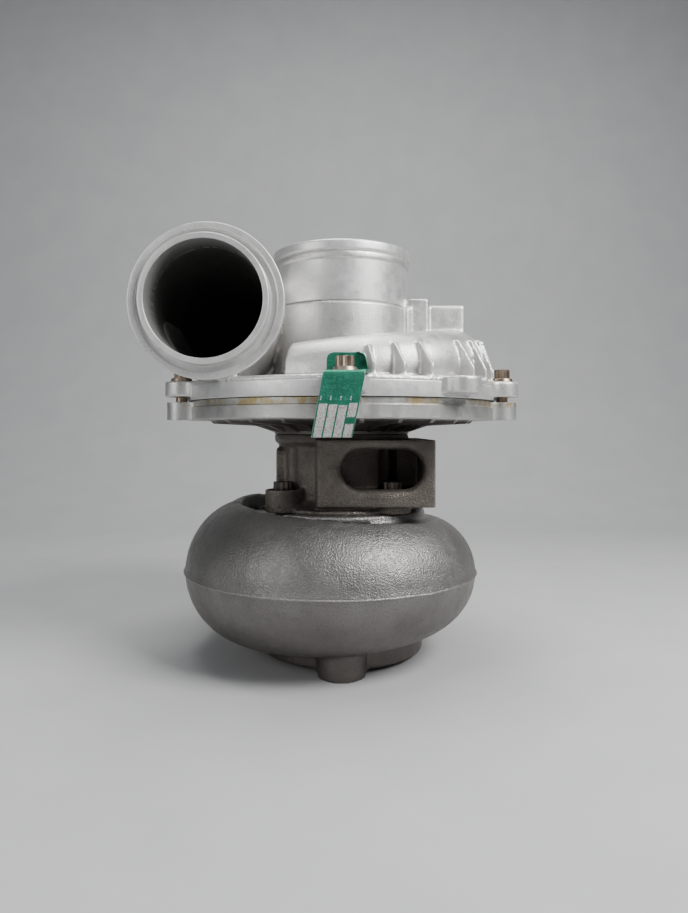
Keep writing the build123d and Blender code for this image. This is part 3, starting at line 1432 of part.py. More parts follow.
def make_heat_shield():
    """A thin pressed cup between the turbine wheel and the bearing housing."""
    turned(
        "heat_shield",
        (14.5, NOZZLE_HIGH_Z + 2.0),
        (45.2, NOZZLE_HIGH_Z + 2.0),
        (45.2, SHIELD_SEAT_Z),
        (CORE_PILOT_R, SHIELD_SEAT_Z),
        (CORE_PILOT_R, SHIELD_TOP_Z),
        (43.7, SHIELD_TOP_Z),
        (43.7, NOZZLE_HIGH_Z + 3.5),
        (14.5, NOZZLE_HIGH_Z + 3.5),
    )


# ---------------------------------------------------------------- every piece
os.makedirs("parts", exist_ok=True)
make_compressor_cover()
make_cover_bolts()
make_nameplate()
make_cover_o_ring()
make_compressor_wheel()
make_shaft_locknut()
make_compressor_backplate()
make_backplate_screws()
make_seal_insert()
make_insert_o_ring()
make_oil_deflector()
make_thrust_bearing()
make_thrust_collar()
make_seal_sleeve()
make_piston_rings()
make_journal_bearing("journal_bearing_turbine_side", BEARING_LOW_Z[0])
make_journal_bearing("journal_bearing_compressor_side", BEARING_LOW_Z[1])
make_bearing_circlips()
make_bearing_housing()
make_rotor_shaft()
make_turbine_wheel()
make_heat_shield()
make_turbine_housing_bolts()
make_turbine_housing()
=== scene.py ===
"""Looks of the turbocharger: cast surfaces, machined faces, nameplate, floor, lights and camera.

Every length is in metres, in the same frame as the CAD model: Z up the shaft, -Y towards the camera.
"""

import json
import math

import bpy
import mathutils
import numpy as np
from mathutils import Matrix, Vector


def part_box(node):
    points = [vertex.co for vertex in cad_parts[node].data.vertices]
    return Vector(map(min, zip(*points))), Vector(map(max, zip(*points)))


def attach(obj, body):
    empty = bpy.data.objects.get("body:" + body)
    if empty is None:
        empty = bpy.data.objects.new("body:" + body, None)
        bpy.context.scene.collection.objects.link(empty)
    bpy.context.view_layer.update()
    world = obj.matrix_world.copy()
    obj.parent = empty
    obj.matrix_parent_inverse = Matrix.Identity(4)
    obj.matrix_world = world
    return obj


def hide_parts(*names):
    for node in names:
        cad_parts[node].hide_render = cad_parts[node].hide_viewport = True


MM = 0.001

# The camera stands level in front of the object; its lens is shifted to frame it.
CAMERA_DISTANCE = 537.6 * MM
CAMERA_HEIGHT = 170.6 * MM
CAMERA_LENS = 27.2
CAMERA_SHIFT = (0.0027, -0.0301)

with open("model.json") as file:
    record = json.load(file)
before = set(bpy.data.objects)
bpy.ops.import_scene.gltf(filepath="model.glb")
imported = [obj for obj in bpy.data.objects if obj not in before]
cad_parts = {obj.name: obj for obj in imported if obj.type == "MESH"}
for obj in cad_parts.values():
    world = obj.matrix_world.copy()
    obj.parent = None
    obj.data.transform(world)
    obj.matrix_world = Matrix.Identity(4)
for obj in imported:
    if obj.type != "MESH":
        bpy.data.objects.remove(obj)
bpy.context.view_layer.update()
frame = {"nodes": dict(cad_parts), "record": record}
nodes = frame["nodes"]
mounts = {mount["name"]: mount for mount in frame["record"]["mounts"]}
outlet_x, _, outlet_z = mounts["compressor_outlet_lip"]["pos_m"]


# ---------------------------------------------------------------- shader helpers
def new_material(name):
    """An empty node material with a Principled shader already joined to its output."""
    material = bpy.data.materials.new(name)
    material.use_nodes = True
    tree = material.node_tree
    tree.nodes.clear()
    output = tree.nodes.new("ShaderNodeOutputMaterial")
    shader = tree.nodes.new("ShaderNodeBsdfPrincipled")
    tree.links.new(shader.outputs["BSDF"], output.inputs["Surface"])
    return material, tree, shader


def object_coordinates(tree):
    return tree.nodes.new("ShaderNodeTexCoord").outputs["Object"]


def noise(tree, coords, size, detail=3.0, rough=0.55):
    """A noise field whose blobs are about this size across."""
    field = tree.nodes.new("ShaderNodeTexNoise")
    field.inputs["Scale"].default_value = 1.0 / size
    field.inputs["Detail"].default_value = detail
    field.inputs["Roughness"].default_value = rough
    tree.links.new(coords, field.inputs["Vector"])
    return field.outputs["Fac"]


def spots(tree, coords, size, low, high):
    """Round spots of this spacing: 1 in the middle of a spot and 0 outside it."""
    cells = tree.nodes.new("ShaderNodeTexVoronoi")
    cells.inputs["Scale"].default_value = 1.0 / size
    tree.links.new(coords, cells.inputs["Vector"])
    return remap(tree, cells.outputs["Distance"], low, high, 1.0, 0.0)


def pebbles(tree, coords, size):
    """A pebbled height field, like the skin that moulding sand leaves: cells about this size across."""
    warp = tree.nodes.new("ShaderNodeMixRGB")
    warp.blend_type = "LINEAR_LIGHT"
    warp.inputs["Fac"].default_value = 0.35 * size
    field = tree.nodes.new("ShaderNodeTexNoise")
    field.inputs["Scale"].default_value = 0.6 / size
    tree.links.new(coords, field.inputs["Vector"])
    tree.links.new(coords, warp.inputs["Color1"])
    tree.links.new(field.outputs["Color"], warp.inputs["Color2"])
    cells = tree.nodes.new("ShaderNodeTexVoronoi")
    cells.feature = "SMOOTH_F1"
    cells.inputs["Scale"].default_value = 1.0 / size
    cells.inputs["Smoothness"].default_value = 0.6
    tree.links.new(warp.outputs[0], cells.inputs["Vector"])
    return remap(tree, cells.outputs["Distance"], 0.1, 0.75, 1.0, 0.0)


def remap(tree, value, low, high, new_low=0.0, new_high=1.0):
    """Stretches the range low..high onto new_low..new_high, and clamps outside it."""
    step = tree.nodes.new("ShaderNodeMapRange")
    for key, number in (("From Min", low), ("From Max", high), ("To Min", new_low), ("To Max", new_high)):
        step.inputs[key].default_value = number
    tree.links.new(value, step.inputs["Value"])
    return step.outputs["Result"]


def maths(tree, operation, first, second):
    """One arithmetic step between two sockets, or a socket and a number."""
    step = tree.nodes.new("ShaderNodeMath")
    step.operation = operation
    for index, item in enumerate((first, second)):
        if isinstance(item, (int, float)):
            step.inputs[index].default_value = item
        else:
            tree.links.new(item, step.inputs[index])
    return step.outputs[0]


def between(tree, value, low, high):
    """1 where a value lies between two numbers and 0 elsewhere."""
    above = maths(tree, "GREATER_THAN", value, low)
    return maths(tree, "MULTIPLY", above, maths(tree, "LESS_THAN", value, high))


def blend_colours(tree, share, first, second):
    """A mix of two colours, each a socket or three numbers."""
    mix = tree.nodes.new("ShaderNodeMix")
    mix.data_type = "RGBA"
    tree.links.new(share, mix.inputs["Factor"])
    for socket, item in ((mix.inputs[6], first), (mix.inputs[7], second)):
        if isinstance(item, tuple):
            socket.default_value = (*item, 1.0)
        else:
            tree.links.new(item, socket)
    return mix.outputs[2]


def bump(tree, height, depth, below=None):
    """Real relief: a height field from 0 to 1 that stands this deep, on top of any relief below it."""
    relief = tree.nodes.new("ShaderNodeBump")
    relief.inputs["Distance"].default_value = depth
    tree.links.new(height, relief.inputs["Height"])
    if below is not None:
        tree.links.new(below, relief.inputs["Normal"])
    return relief.outputs["Normal"]


def soft_edges(tree, radius):
    """A machined edge's tiny round, as a normal for the relief to sit on."""
    edge = tree.nodes.new("ShaderNodeBevel")
    edge.samples = 4
    edge.inputs["Radius"].default_value = radius
    return edge.outputs["Normal"]


def exposed_edges(tree, low=0.52, high=0.60):
    """1 on the mesh's convex edges, where handling and blasting brighten the metal."""
    return remap(tree, tree.nodes.new("ShaderNodeNewGeometry").outputs["Pointiness"], low, high)


def height_above(tree, coords):
    """The height of each point of the surface, in the frame's Z."""
    split = tree.nodes.new("ShaderNodeSeparateXYZ")
    tree.links.new(coords, split.inputs[0])
    return split.outputs["Z"]


# ---------------------------------------------------------------- materials
BORE_DIRT_AND_SHADE_R = 38.35 * MM
BORE_DIRT_AND_SHADE_START_Y = -101 * MM
BORE_DIRT_AND_SHADE_FULL_Y = -70 * MM
BORE_DIRT_AND_SHADE_GREY = (0.10, 0.097, 0.092)
STAIN_LOW_Z = 184.5 * MM
STAIN_HIGH_Z = 187.5 * MM
STAIN_BROWN = (0.33, 0.25, 0.11)
UNDER_PLATE_SHADE_HIGH_Z = 177.2 * MM
UNDER_PLATE_SHADE_LOW_Z = 175.5 * MM
UNDER_PLATE_SHADE_BROWN = (0.085, 0.072, 0.062)
POCKET_LOW_Z = 127 * MM
POCKET_HIGH_Z = 157.5 * MM
POCKET_OUTER_X = 64.8 * MM
POCKET_SHADE_BLACK = (0.028, 0.021, 0.017)
BOTTOM_DARK_LOW_Z = 4 * MM
BOTTOM_DARK_HIGH_Z = 75 * MM
BOTTOM_DARK_BROWN = (0.10, 0.085, 0.075)


def cast_metal(name, light, dark, metallic, roughness, grain, depth, wear, edge_radius=0.0, stains_and_shade=None):
    """A cast surface: patchy colour, sand grain in the relief, pits, and brighter exposed edges."""
    material, tree, shader = new_material(name)
    coords = object_coordinates(tree)
    patch = remap(tree, noise(tree, coords, 38 * MM, 4.0), 0.35, 0.65)
    fine = remap(tree, noise(tree, coords, grain * 1.7, 4.0, 0.65), 0.30, 0.70)
    colour = blend_colours(tree, patch, dark, light)
    speckle_dark = tuple(0.62 * c for c in dark)
    colour = blend_colours(tree, remap(tree, fine, 0.0, 0.42, 0.55, 0.0), colour, speckle_dark)
    pits = maths(tree, "MULTIPLY", spots(tree, coords, 5.5 * MM, 0.05, 0.12), remap(tree, patch, 0.45, 0.8))
    colour = blend_colours(tree, pits, colour, speckle_dark)
    colour = blend_colours(tree, maths(tree, "MULTIPLY", exposed_edges(tree), 0.7), colour, wear)
    # The hook paints real stains into the colour, and for some finishes painted shade too.
    if stains_and_shade is not None:
        colour = stains_and_shade(tree, coords, colour)
    tree.links.new(colour, shader.inputs["Base Color"])
    shader.inputs["Metallic"].default_value = metallic
    rough = remap(tree, noise(tree, coords, 7 * MM, 3.0), 0.3, 0.7, roughness - 0.07, roughness + 0.09)
    tree.links.new(rough, shader.inputs["Roughness"])
    base = soft_edges(tree, edge_radius) if edge_radius else None
    broad = bump(tree, noise(tree, coords, 9 * MM, 2.0), depth * 3.0, base)
    sand = bump(tree, pebbles(tree, coords, grain), depth * 1.6, broad)
    fine_sand = bump(tree, noise(tree, coords, grain * 0.6, 4.0, 0.7), depth * 1.2, sand)
    pitted = bump(tree, maths(tree, "SUBTRACT", 1.0, pits), depth * 1.5, fine_sand)
    tree.links.new(pitted, shader.inputs["Normal"])
    return material


def turned_metal(name, light, dark, roughness, edge_radius=0.3 * MM, metallic=1.0, groove=0.35 * MM):
    """A machined surface: fine rings from the tool, smudged colour and slightly rounded edges."""
    material, tree, shader = new_material(name)
    coords = object_coordinates(tree)
    patch = remap(tree, noise(tree, coords, 11 * MM, 4.0), 0.3, 0.7)
    colour = blend_colours(tree, patch, dark, light)
    colour = blend_colours(tree, remap(tree, noise(tree, coords, 1.1 * MM, 4.0), 0.62, 0.75), colour, dark)
    tree.links.new(colour, shader.inputs["Base Color"])
    shader.inputs["Metallic"].default_value = metallic
    rough = remap(tree, noise(tree, coords, 4 * MM, 3.0), 0.3, 0.7, roughness - 0.06, roughness + 0.10)
    tree.links.new(rough, shader.inputs["Roughness"])
    stretch = tree.nodes.new("ShaderNodeMapping")
    stretch.inputs["Scale"].default_value = (0.05, 0.05, 1.0)
    tree.links.new(coords, stretch.inputs["Vector"])
    rings = noise(tree, stretch.outputs["Vector"], groove, 2.0)
    tree.links.new(bump(tree, rings, 0.03 * MM, soft_edges(tree, edge_radius)), shader.inputs["Normal"])
    return material


def rubber(name):
    """Black moulded rubber with a faint bloom."""
    material, tree, shader = new_material(name)
    coords = object_coordinates(tree)
    bloom = remap(tree, noise(tree, coords, 6 * MM, 3.0), 0.4, 0.7)
    colour = blend_colours(tree, bloom, (0.012, 0.012, 0.012), (0.04, 0.04, 0.042))
    tree.links.new(colour, shader.inputs["Base Color"])
    shader.inputs["Roughness"].default_value = 0.62
    tree.links.new(bump(tree, noise(tree, coords, 0.5 * MM), 0.02 * MM), shader.inputs["Normal"])
    return material


def backplate_stains_and_shade(tree, coords, colour):
    """Yellow-brown oil staining that has crept along the joint above the backplate's rim, and painted shade
    that darkens the hub below the plate.
    """
    band = remap(tree, height_above(tree, coords), STAIN_LOW_Z, STAIN_HIGH_Z)
    drips = remap(tree, noise(tree, coords, 13 * MM, 5.0, 0.7), 0.47, 0.62)
    stained = blend_colours(tree, maths(tree, "MULTIPLY", band, drips), colour, STAIN_BROWN)
    # Painted shade: the hub below the plate's underside darkens to near-black brown.
    under_plate_shade = remap(tree, height_above(tree, coords), UNDER_PLATE_SHADE_HIGH_Z, UNDER_PLATE_SHADE_LOW_Z, 0.0, 0.8)
    return blend_colours(tree, under_plate_shade, stained, UNDER_PLATE_SHADE_BROWN)


def pocket_painted_shade(tree, coords, colour):
    """Painted shade inside the windowed box of the bearing housing: its hollow is coloured near black."""
    split = tree.nodes.new("ShaderNodeSeparateXYZ")
    tree.links.new(coords, split.inputs[0])
    depth = maths(tree, "ABSOLUTE", split.outputs["Y"], 0.0)
    within = remap(tree, depth, 60 * MM, 50 * MM, 0.0, 0.82)
    beside = maths(tree, "MULTIPLY", remap(tree, split.outputs["X"], -2 * MM, 2 * MM), within)
    low = maths(tree, "GREATER_THAN", split.outputs["Z"], POCKET_LOW_Z)
    boxed = maths(tree, "MULTIPLY", low, maths(tree, "LESS_THAN", split.outputs["Z"], POCKET_HIGH_Z))
    clear_of_drain = maths(tree, "LESS_THAN", split.outputs["X"], POCKET_OUTER_X)
    share = maths(tree, "MULTIPLY", maths(tree, "MULTIPLY", beside, boxed), clear_of_drain)
    # Painted shade: near black inside the box, where its walls shade the hollow.
    return blend_colours(tree, share, colour, POCKET_SHADE_BLACK)


def bore_dirt_and_shade(tree, coords, colour):
    """Dark oily dirt and painted shade within the outlet bore's radius, deepening inwards from the mouth,
    with no end along Y.
    """
    split = tree.nodes.new("ShaderNodeSeparateXYZ")
    tree.links.new(coords, split.inputs[0])
    across = maths(tree, "SUBTRACT", split.outputs["X"], outlet_x)
    up = maths(tree, "SUBTRACT", split.outputs["Z"], outlet_z)
    square = maths(tree, "ADD", maths(tree, "MULTIPLY", across, across), maths(tree, "MULTIPLY", up, up))
    inside = maths(tree, "LESS_THAN", square, BORE_DIRT_AND_SHADE_R ** 2)
    depth = remap(tree, split.outputs["Y"], BORE_DIRT_AND_SHADE_START_Y, BORE_DIRT_AND_SHADE_FULL_Y, 0.25, 0.90)
    # Painted shade with the dirt: darker deeper inside the bore.
    return blend_colours(tree, maths(tree, "MULTIPLY", inside, depth), colour, BORE_DIRT_AND_SHADE_GREY)


def darker_towards_bottom(tree, coords, colour):
    """Darker, browner metal lower down, towards the exhaust's exit; it follows height alone."""
    low = remap(tree, height_above(tree, coords), BOTTOM_DARK_LOW_Z, BOTTOM_DARK_HIGH_Z, 0.80, 0.0)
    return blend_colours(tree, low, colour, BOTTOM_DARK_BROWN)


MATERIALS = {
    "blasted_aluminium": cast_metal(
        "blasted_aluminium", (0.66, 0.65, 0.63), (0.56, 0.555, 0.545), 0.78, 0.42, 0.9 * MM, 0.04 * MM,
        (0.85, 0.84, 0.82), 0.0, bore_dirt_and_shade
    ),
    "machined_cover": cast_metal(
        "machined_cover", (0.70, 0.695, 0.68), (0.64, 0.635, 0.625), 0.72, 0.42, 0.7 * MM, 0.008 * MM,
        (0.88, 0.87, 0.85), 0.0, bore_dirt_and_shade
    ),
    "backplate_aluminium": cast_metal(
        "backplate_aluminium", (0.46, 0.455, 0.435), (0.33, 0.325, 0.31), 0.85, 0.42, 1.0 * MM, 0.03 * MM,
        (0.62, 0.62, 0.60), 0.5 * MM, backplate_stains_and_shade
    ),
    "machined_aluminium": turned_metal("machined_aluminium", (0.78, 0.79, 0.80), (0.62, 0.63, 0.64), 0.28),
    "bolt_steel": turned_metal("bolt_steel", (0.45, 0.38, 0.31), (0.24, 0.17, 0.12), 0.36),
    "hot_bolt_steel": turned_metal("hot_bolt_steel", (0.12, 0.105, 0.095), (0.05, 0.042, 0.036), 0.45),
    "screw_steel": turned_metal("screw_steel", (0.16, 0.16, 0.165), (0.06, 0.06, 0.065), 0.40),
    "pressed_steel": turned_metal("pressed_steel", (0.52, 0.51, 0.49), (0.33, 0.30, 0.27), 0.35),
    "ground_steel": turned_metal("ground_steel", (0.68, 0.68, 0.69), (0.50, 0.50, 0.51), 0.22),
    "spring_steel": turned_metal("spring_steel", (0.22, 0.24, 0.30), (0.10, 0.10, 0.13), 0.33),
    "ring_iron": turned_metal("ring_iron", (0.36, 0.36, 0.37), (0.22, 0.22, 0.22), 0.38),
    "wheel_superalloy": turned_metal("wheel_superalloy", (0.36, 0.33, 0.30), (0.19, 0.165, 0.145), 0.46),
    "bearing_bronze": turned_metal("bearing_bronze", (0.66, 0.47, 0.22), (0.46, 0.30, 0.13), 0.32),
    "core_cast_iron": cast_metal(
        "core_cast_iron", (0.165, 0.145, 0.125), (0.075, 0.064, 0.056), 0.6, 0.50, 1.2 * MM, 0.15 * MM,
        (0.36, 0.33, 0.30), 0.0, pocket_painted_shade
    ),
    "turbine_cast_iron": cast_metal(
        "turbine_cast_iron", (0.235, 0.228, 0.217), (0.165, 0.16, 0.152), 0.75, 0.43, 1.15 * MM, 0.13 * MM,
        (0.50, 0.49, 0.47), 0.0, darker_towards_bottom
    ),
    "seal_rubber": rubber("seal_rubber"),
}


# ---------------------------------------------------------------- mesh helpers
def placed(name, mesh):
    """A new object in the scene that shows this mesh."""
    piece = bpy.data.objects.new(name, mesh)
    bpy.context.scene.collection.objects.link(piece)
    return piece


def apply_modifiers(piece):
    """Turns what a piece's modifiers make into its own mesh."""
    depsgraph = bpy.context.evaluated_depsgraph_get()
    mesh = bpy.data.meshes.new_from_object(piece.evaluated_get(depsgraph))
    piece.modifiers.clear()
    piece.data = mesh
    return mesh


def read_points(mesh, field="co"):
    """The positions of a mesh's vertices, or their normals, as rows of x, y, z."""
    flat = np.empty(len(mesh.vertices) * 3, np.float32)
    mesh.vertices.foreach_get(field, flat)
    return flat.reshape(-1, 3).astype(float)


def write_points(mesh, points):
    """Moves a mesh's vertices to these rows of x, y, z."""
    mesh.vertices.foreach_set("co", points.astype(np.float32).ravel())
    mesh.update()


# ---------------------------------------------------------------- cast pieces
MOST_FACES = 95000


def smooth_points(points, edges, weight, rounds):
    """Rounds off a mesh's corners while holding its volume; weight 0 keeps a point where it is."""
    count = len(points)
    first, second = edges[:, 0], edges[:, 1]
    valence = np.bincount(first, minlength=count) + np.bincount(second, minlength=count)
    valence = np.maximum(valence, 1)[:, None]
    for step in range(2 * rounds):
        total = np.empty_like(points)
        for axis in range(3):
            near_first = np.bincount(first, points[second, axis], count)
            total[:, axis] = near_first + np.bincount(second, points[first, axis], count)
        strength = 0.6 if step % 2 == 0 else -0.52
        points = points + strength * weight[:, None] * (total / valence - points)
    return points


def soft_casting(node, name, voxel, rounds, crisp):
    """A copy of a CAD casting with the soft corners of a real one; its machined faces stay crisp."""
    piece = placed(name, nodes[node].data.copy())
    remesh = piece.modifiers.new("voxels", "REMESH")
    remesh.mode = "VOXEL"
    remesh.voxel_size = voxel
    mesh = apply_modifiers(piece)
    points = read_points(mesh)
    edges = np.empty(len(mesh.edges) * 2, np.int32)
    mesh.edges.foreach_get("vertices", edges)
    points = smooth_points(points, edges.reshape(-1, 2), 1.0 - crisp(points), rounds)
    lowest, highest = (np.array(corner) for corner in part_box(node))
    write_points(mesh, np.clip(points, lowest, highest))
    if len(mesh.polygons) > MOST_FACES:
        thin = piece.modifiers.new("thin", "DECIMATE")
        thin.ratio = MOST_FACES / len(mesh.polygons)
        mesh = apply_modifiers(piece)
    mesh.shade_smooth()
    return piece


def fitted(piece, node, body, slot):
    """Lets a finished piece stand for its CAD node, on that node's body, in that node's finish."""
    piece.data.materials.clear()
    piece.data.materials.append(MATERIALS[slot])
    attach(piece, body)
    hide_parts(node)
    return piece


def near_plane(values, place, reach=1.2 * MM):
    """1 close to a machined plane and 0 away from it."""
    return (np.abs(values - place) < reach).astype(float)


def shrink_into(mesh, points, weight, depth):
    """Sinks the weighted points below the surface, so that a crisp machined piece can cover them."""
    return points - read_points(mesh, "normal") * (weight * depth)[:, None]


def rounded(corners, radius, steps=4):
    """An outline with each of its corners turned into a small arc, where its sides leave room."""
    path = []
    count = len(corners)
    for index in range(count):
        before, corner, after = (np.array(corners[(index + k) % count], float) for k in (-1, 0, 1))
        cut = min(radius, 0.45 * np.linalg.norm(before - corner), 0.45 * np.linalg.norm(after - corner))
        start = corner + (before - corner) / np.linalg.norm(before - corner) * cut
        end = corner + (after - corner) / np.linalg.norm(after - corner) * cut
        for step in range(steps + 1):
            t = step / steps
            path.append(tuple((1 - t) ** 2 * start + 2 * t * (1 - t) * corner + t * t * end))
    return path


def turned_mesh(name, profile, axis="Z", centre=(0.0, 0.0, 0.0), steps=192):
    """A closed turned solid from its outline of (radius, place along the axis) points."""
    around = np.linspace(0.0, 2.0 * math.pi, steps, endpoint=False)
    points = []
    for angle in around:
        for radius, along in profile:
            side, up = radius * math.cos(angle), radius * math.sin(angle)
            spot = (side, up, along) if axis == "Z" else (side, along, up)
            points.append(tuple(c + s for c, s in zip(centre, spot)))
    count = len(profile)
    faces = []
    for turn in range(steps):
        after = (turn + 1) % steps
        for row in range(count):
            below = (row + 1) % count
            here, there = turn * count, after * count
            faces.append((here + row, there + row, there + below, here + below))
    mesh = bpy.data.meshes.new(name)
    mesh.from_pydata(points, [], faces)
    mesh.validate()
    mesh.update()
    return placed(name, mesh)


# ---------------------------------------------------------------- compressor cover
cover_low, cover_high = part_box("compressor_cover")
FLANGE_STEP_Z = 201.3 * MM
INLET_STEP_Z = 261.0 * MM
INLET_R = 50.8 * MM
OUTLET_FACE_Y = -92.0 * MM
OUTLET_BACK_Y = -80.0 * MM
OUTLET_BORE_R = 38.0 * MM
OUTLET_PIPE_R = 43.0 * MM
OUTLET_RING_R = 51.2 * MM
OUTLET_LIP_R = 42.0 * MM
RIM_R = 117.6 * MM
OUTLET_RECESS_R = 46.7 * MM
OUTLET_LIP_REACH = 9 * MM
OUTLET_GROOVE_DEPTH = 3 * MM
BEAD_HEIGHT = 7 * MM
BEAD_REACH = 2 * MM
RIM_WIDTH = 6 * MM
MACHINED_DEPTH = 0.9 * MM


def from_outlet(points):
    """Distance of each point from the outlet pipe's axis."""
    return np.hypot(points[:, 0] - outlet_x, points[:, 2] - outlet_z)


def from_shaft(points):
    return np.hypot(points[:, 0], points[:, 1])


def in_machined_cover(points):
    """1 where the cover's turned faces lie: the outlet flange, the hose spigot and the joint's rim."""
    flange = (points[:, 1] < OUTLET_BACK_Y) & (from_outlet(points) < OUTLET_RING_R + 2 * MM)
    spigot = (points[:, 2] > INLET_STEP_Z) & (from_shaft(points) < INLET_R + 4 * MM)
    rim = (points[:, 2] < FLANGE_STEP_Z) & (from_shaft(points) < RIM_R + 0.3 * MM)
    return (flange | spigot | rim).astype(float)


def outlet_flange():
    """The outlet's clamp flange: a coned back, a proud ring, a seal groove and a locating lip."""
    lip, groove = OUTLET_FACE_Y - OUTLET_LIP_REACH, OUTLET_FACE_Y + OUTLET_GROOVE_DEPTH
    corners = [
        (OUTLET_BORE_R, lip), (OUTLET_LIP_R, lip), (OUTLET_LIP_R, groove),
        (OUTLET_RECESS_R, groove),
        (OUTLET_RECESS_R, OUTLET_FACE_Y), (OUTLET_RING_R, OUTLET_FACE_Y),
        (OUTLET_RING_R, OUTLET_FACE_Y + 7 * MM),
        (45.0 * MM, OUTLET_FACE_Y + 10.5 * MM), (OUTLET_PIPE_R - 0.2 * MM, OUTLET_FACE_Y + 15 * MM),
        (OUTLET_BORE_R + 0.3 * MM, OUTLET_FACE_Y + 15 * MM),
    ]
    return turned_mesh("cover_outlet_flange", rounded(corners, 0.7 * MM), "Y", (outlet_x, 0.0, outlet_z))


def inlet_spigot():
    """The hose spigot above the fine step, with its bead at the mouth."""
    top, bead = cover_high[2], cover_high[2] - BEAD_HEIGHT
    corners = [
        (45.6 * MM, INLET_STEP_Z + 9 * MM), (INLET_R, INLET_STEP_Z + 0.3 * MM), (INLET_R, bead - 1.2 * MM),
        (INLET_R + BEAD_REACH, bead), (INLET_R + BEAD_REACH, top), (46.8 * MM, top),
        (45.8 * MM, top - 2.4 * MM),
    ]
    return turned_mesh("cover_inlet_spigot", rounded(corners, 1.9 * MM, 6))


def joint_rim():
    """The turned rim of the cover's joint face, below a fine step."""
    inner = RIM_R - RIM_WIDTH
    corners = [(inner, cover_low[2]), (RIM_R, cover_low[2]), (RIM_R, FLANGE_STEP_Z), (inner, FLANGE_STEP_Z)]
    return turned_mesh("cover_joint_rim", rounded(corners, 0.5 * MM), steps=256)


def make_compressor_cover():
    """The blasted casting with soft corners, and its turned faces as crisp pieces over it."""
    hull = soft_casting("compressor_cover", "cover_casting", 1.25 * MM, 2, in_machined_cover)
    points = read_points(hull.data)
    write_points(hull.data, shrink_into(hull.data, points, in_machined_cover(points), MACHINED_DEPTH))
    hull = fitted(hull, "compressor_cover", "housing", "blasted_aluminium")
    for piece in (outlet_flange(), inlet_spigot(), joint_rim()):
        piece.data.shade_smooth()
        fitted(piece, "compressor_cover", "housing", "blasted_aluminium")
        piece.data.materials[0] = MATERIALS["machined_cover"]


make_compressor_cover()


# ---------------------------------------------------------------- bearing housing
DRAIN_FACE_X = 65.3 * MM
CORE_SEAT_Z = 110 * MM
CORE_BORE_R = 33.5 * MM
core_low, core_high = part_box("bearing_housing")


def machined_core(points):
    """1 on the bearing housing's machined faces: its drain face, oil pad, joints and bores."""
    drain = near_plane(points[:, 0], DRAIN_FACE_X)
    pad = near_plane(points[:, 0], core_low[0])
    top = near_plane(points[:, 2], core_high[2])
    seat = near_plane(points[:, 2], CORE_SEAT_Z)
    bore = (from_shaft(points) < CORE_BORE_R).astype(float)
    return np.minimum(drain + pad + top + seat + bore, 1.0)


def make_bearing_housing():
    core = soft_casting("bearing_housing", "core_casting", 1.1 * MM, 3, machined_core)
    fitted(core, "bearing_housing", "housing", "core_cast_iron")


make_bearing_housing()


# ---------------------------------------------------------------- turbine housing
SCROLL_MID_Z = 64 * MM
TURBINE_BORE_R = 50 * MM
SEAM_HEIGHT = 0.9 * MM
SEAM_WIDTH = 2.4 * MM


def machined_turbine(points):
    """1 on the turbine housing's machined faces: the joint, the manifold flange and the feet."""
    flange = near_plane(points[:, 1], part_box("turbine_housing")[1][1])
    feet = near_plane(points[:, 2], 0.0)
    joint = near_plane(points[:, 2], CORE_SEAT_Z)
    bore = (from_shaft(points) < TURBINE_BORE_R).astype(float)
    return np.minimum(flange + feet + joint + bore, 1.0)


def make_turbine_housing():
    scroll = soft_casting("turbine_housing", "turbine_casting", 1.6 * MM, 6, machined_turbine)
    fitted(scroll, "turbine_housing", "housing", "turbine_cast_iron")
    return scroll


def make_seam(scroll):
    """The raised line left where the two halves of the mould met, laid along the casting's widest girth."""
    points = read_points(scroll.data)
    band = points[np.abs(points[:, 2] - SCROLL_MID_Z) < 2.5 * MM]
    turn = np.degrees(np.arctan2(band[:, 1], band[:, 0])) % 360
    radius = from_shaft(band)
    angles = np.arange(176, 472, 2)
    girth = []
    for angle in angles:
        near = np.abs((turn - angle + 180) % 360 - 180) < 2.0
        girth.append(radius[near].max())
    girth = np.convolve(np.pad(girth, 2, mode="edge"), np.full(5, 0.2), "valid")
    rng = np.random.default_rng(7)
    half = SEAM_WIDTH / 2
    profile = [(-1.0, -half), (0.0, -half * 0.8), (SEAM_HEIGHT * 0.75, -half * 0.42), (SEAM_HEIGHT, 0.0),
               (SEAM_HEIGHT * 0.75, half * 0.42), (0.0, half * 0.8), (-1.0, half)]
    verts, faces = [], []
    for angle, reach in zip(np.radians(angles), girth):
        drop, swell = rng.normal(0, 0.12) * MM, 1 + rng.normal(0, 0.12)
        for out, up in profile:
            out = -1.2 * MM if out < 0 else out * swell - 0.45 * MM
            girth_r = reach + out
            verts.append((girth_r * math.cos(angle), girth_r * math.sin(angle), SCROLL_MID_Z + up + drop))
    size = len(profile)
    for turn_index in range(len(angles) - 1):
        for row in range(size):
            after = (row + 1) % size
            start = turn_index * size
            faces.append((start + row, start + size + row, start + size + after, start + after))
    faces.append(tuple(range(size)))
    faces.append(tuple(range(len(verts) - 1, len(verts) - size - 1, -1)))
    mesh = bpy.data.meshes.new("turbine_seam")
    mesh.from_pydata(verts, [], faces)
    mesh.update()
    mesh.shade_smooth()
    fitted(placed("turbine_seam", mesh), "turbine_housing", "housing", "turbine_cast_iron")


make_seam(make_turbine_housing())


# ---------------------------------------------------------------- nameplate
plate_low, plate_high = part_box("nameplate")
PLATE_THICKNESS = 0.9 * MM
PLATE_STRIP_TOP_Z = 205.0 * MM
TAB_WIDTH = 25.7 * MM
STRIP_WIDTH = 25.0 * MM
STRIP_TAPER = 0.8 * MM
STRIP_STEP = 1.6 * MM
STRIP_LEAN = 7.2 * MM
LEAN_POWER = 1.15
TAB_ROUND = 4.5 * MM
SHEET_COLUMNS = 33
HOLE_R = 1.7 * MM
HOLE_REACH = 8 * MM


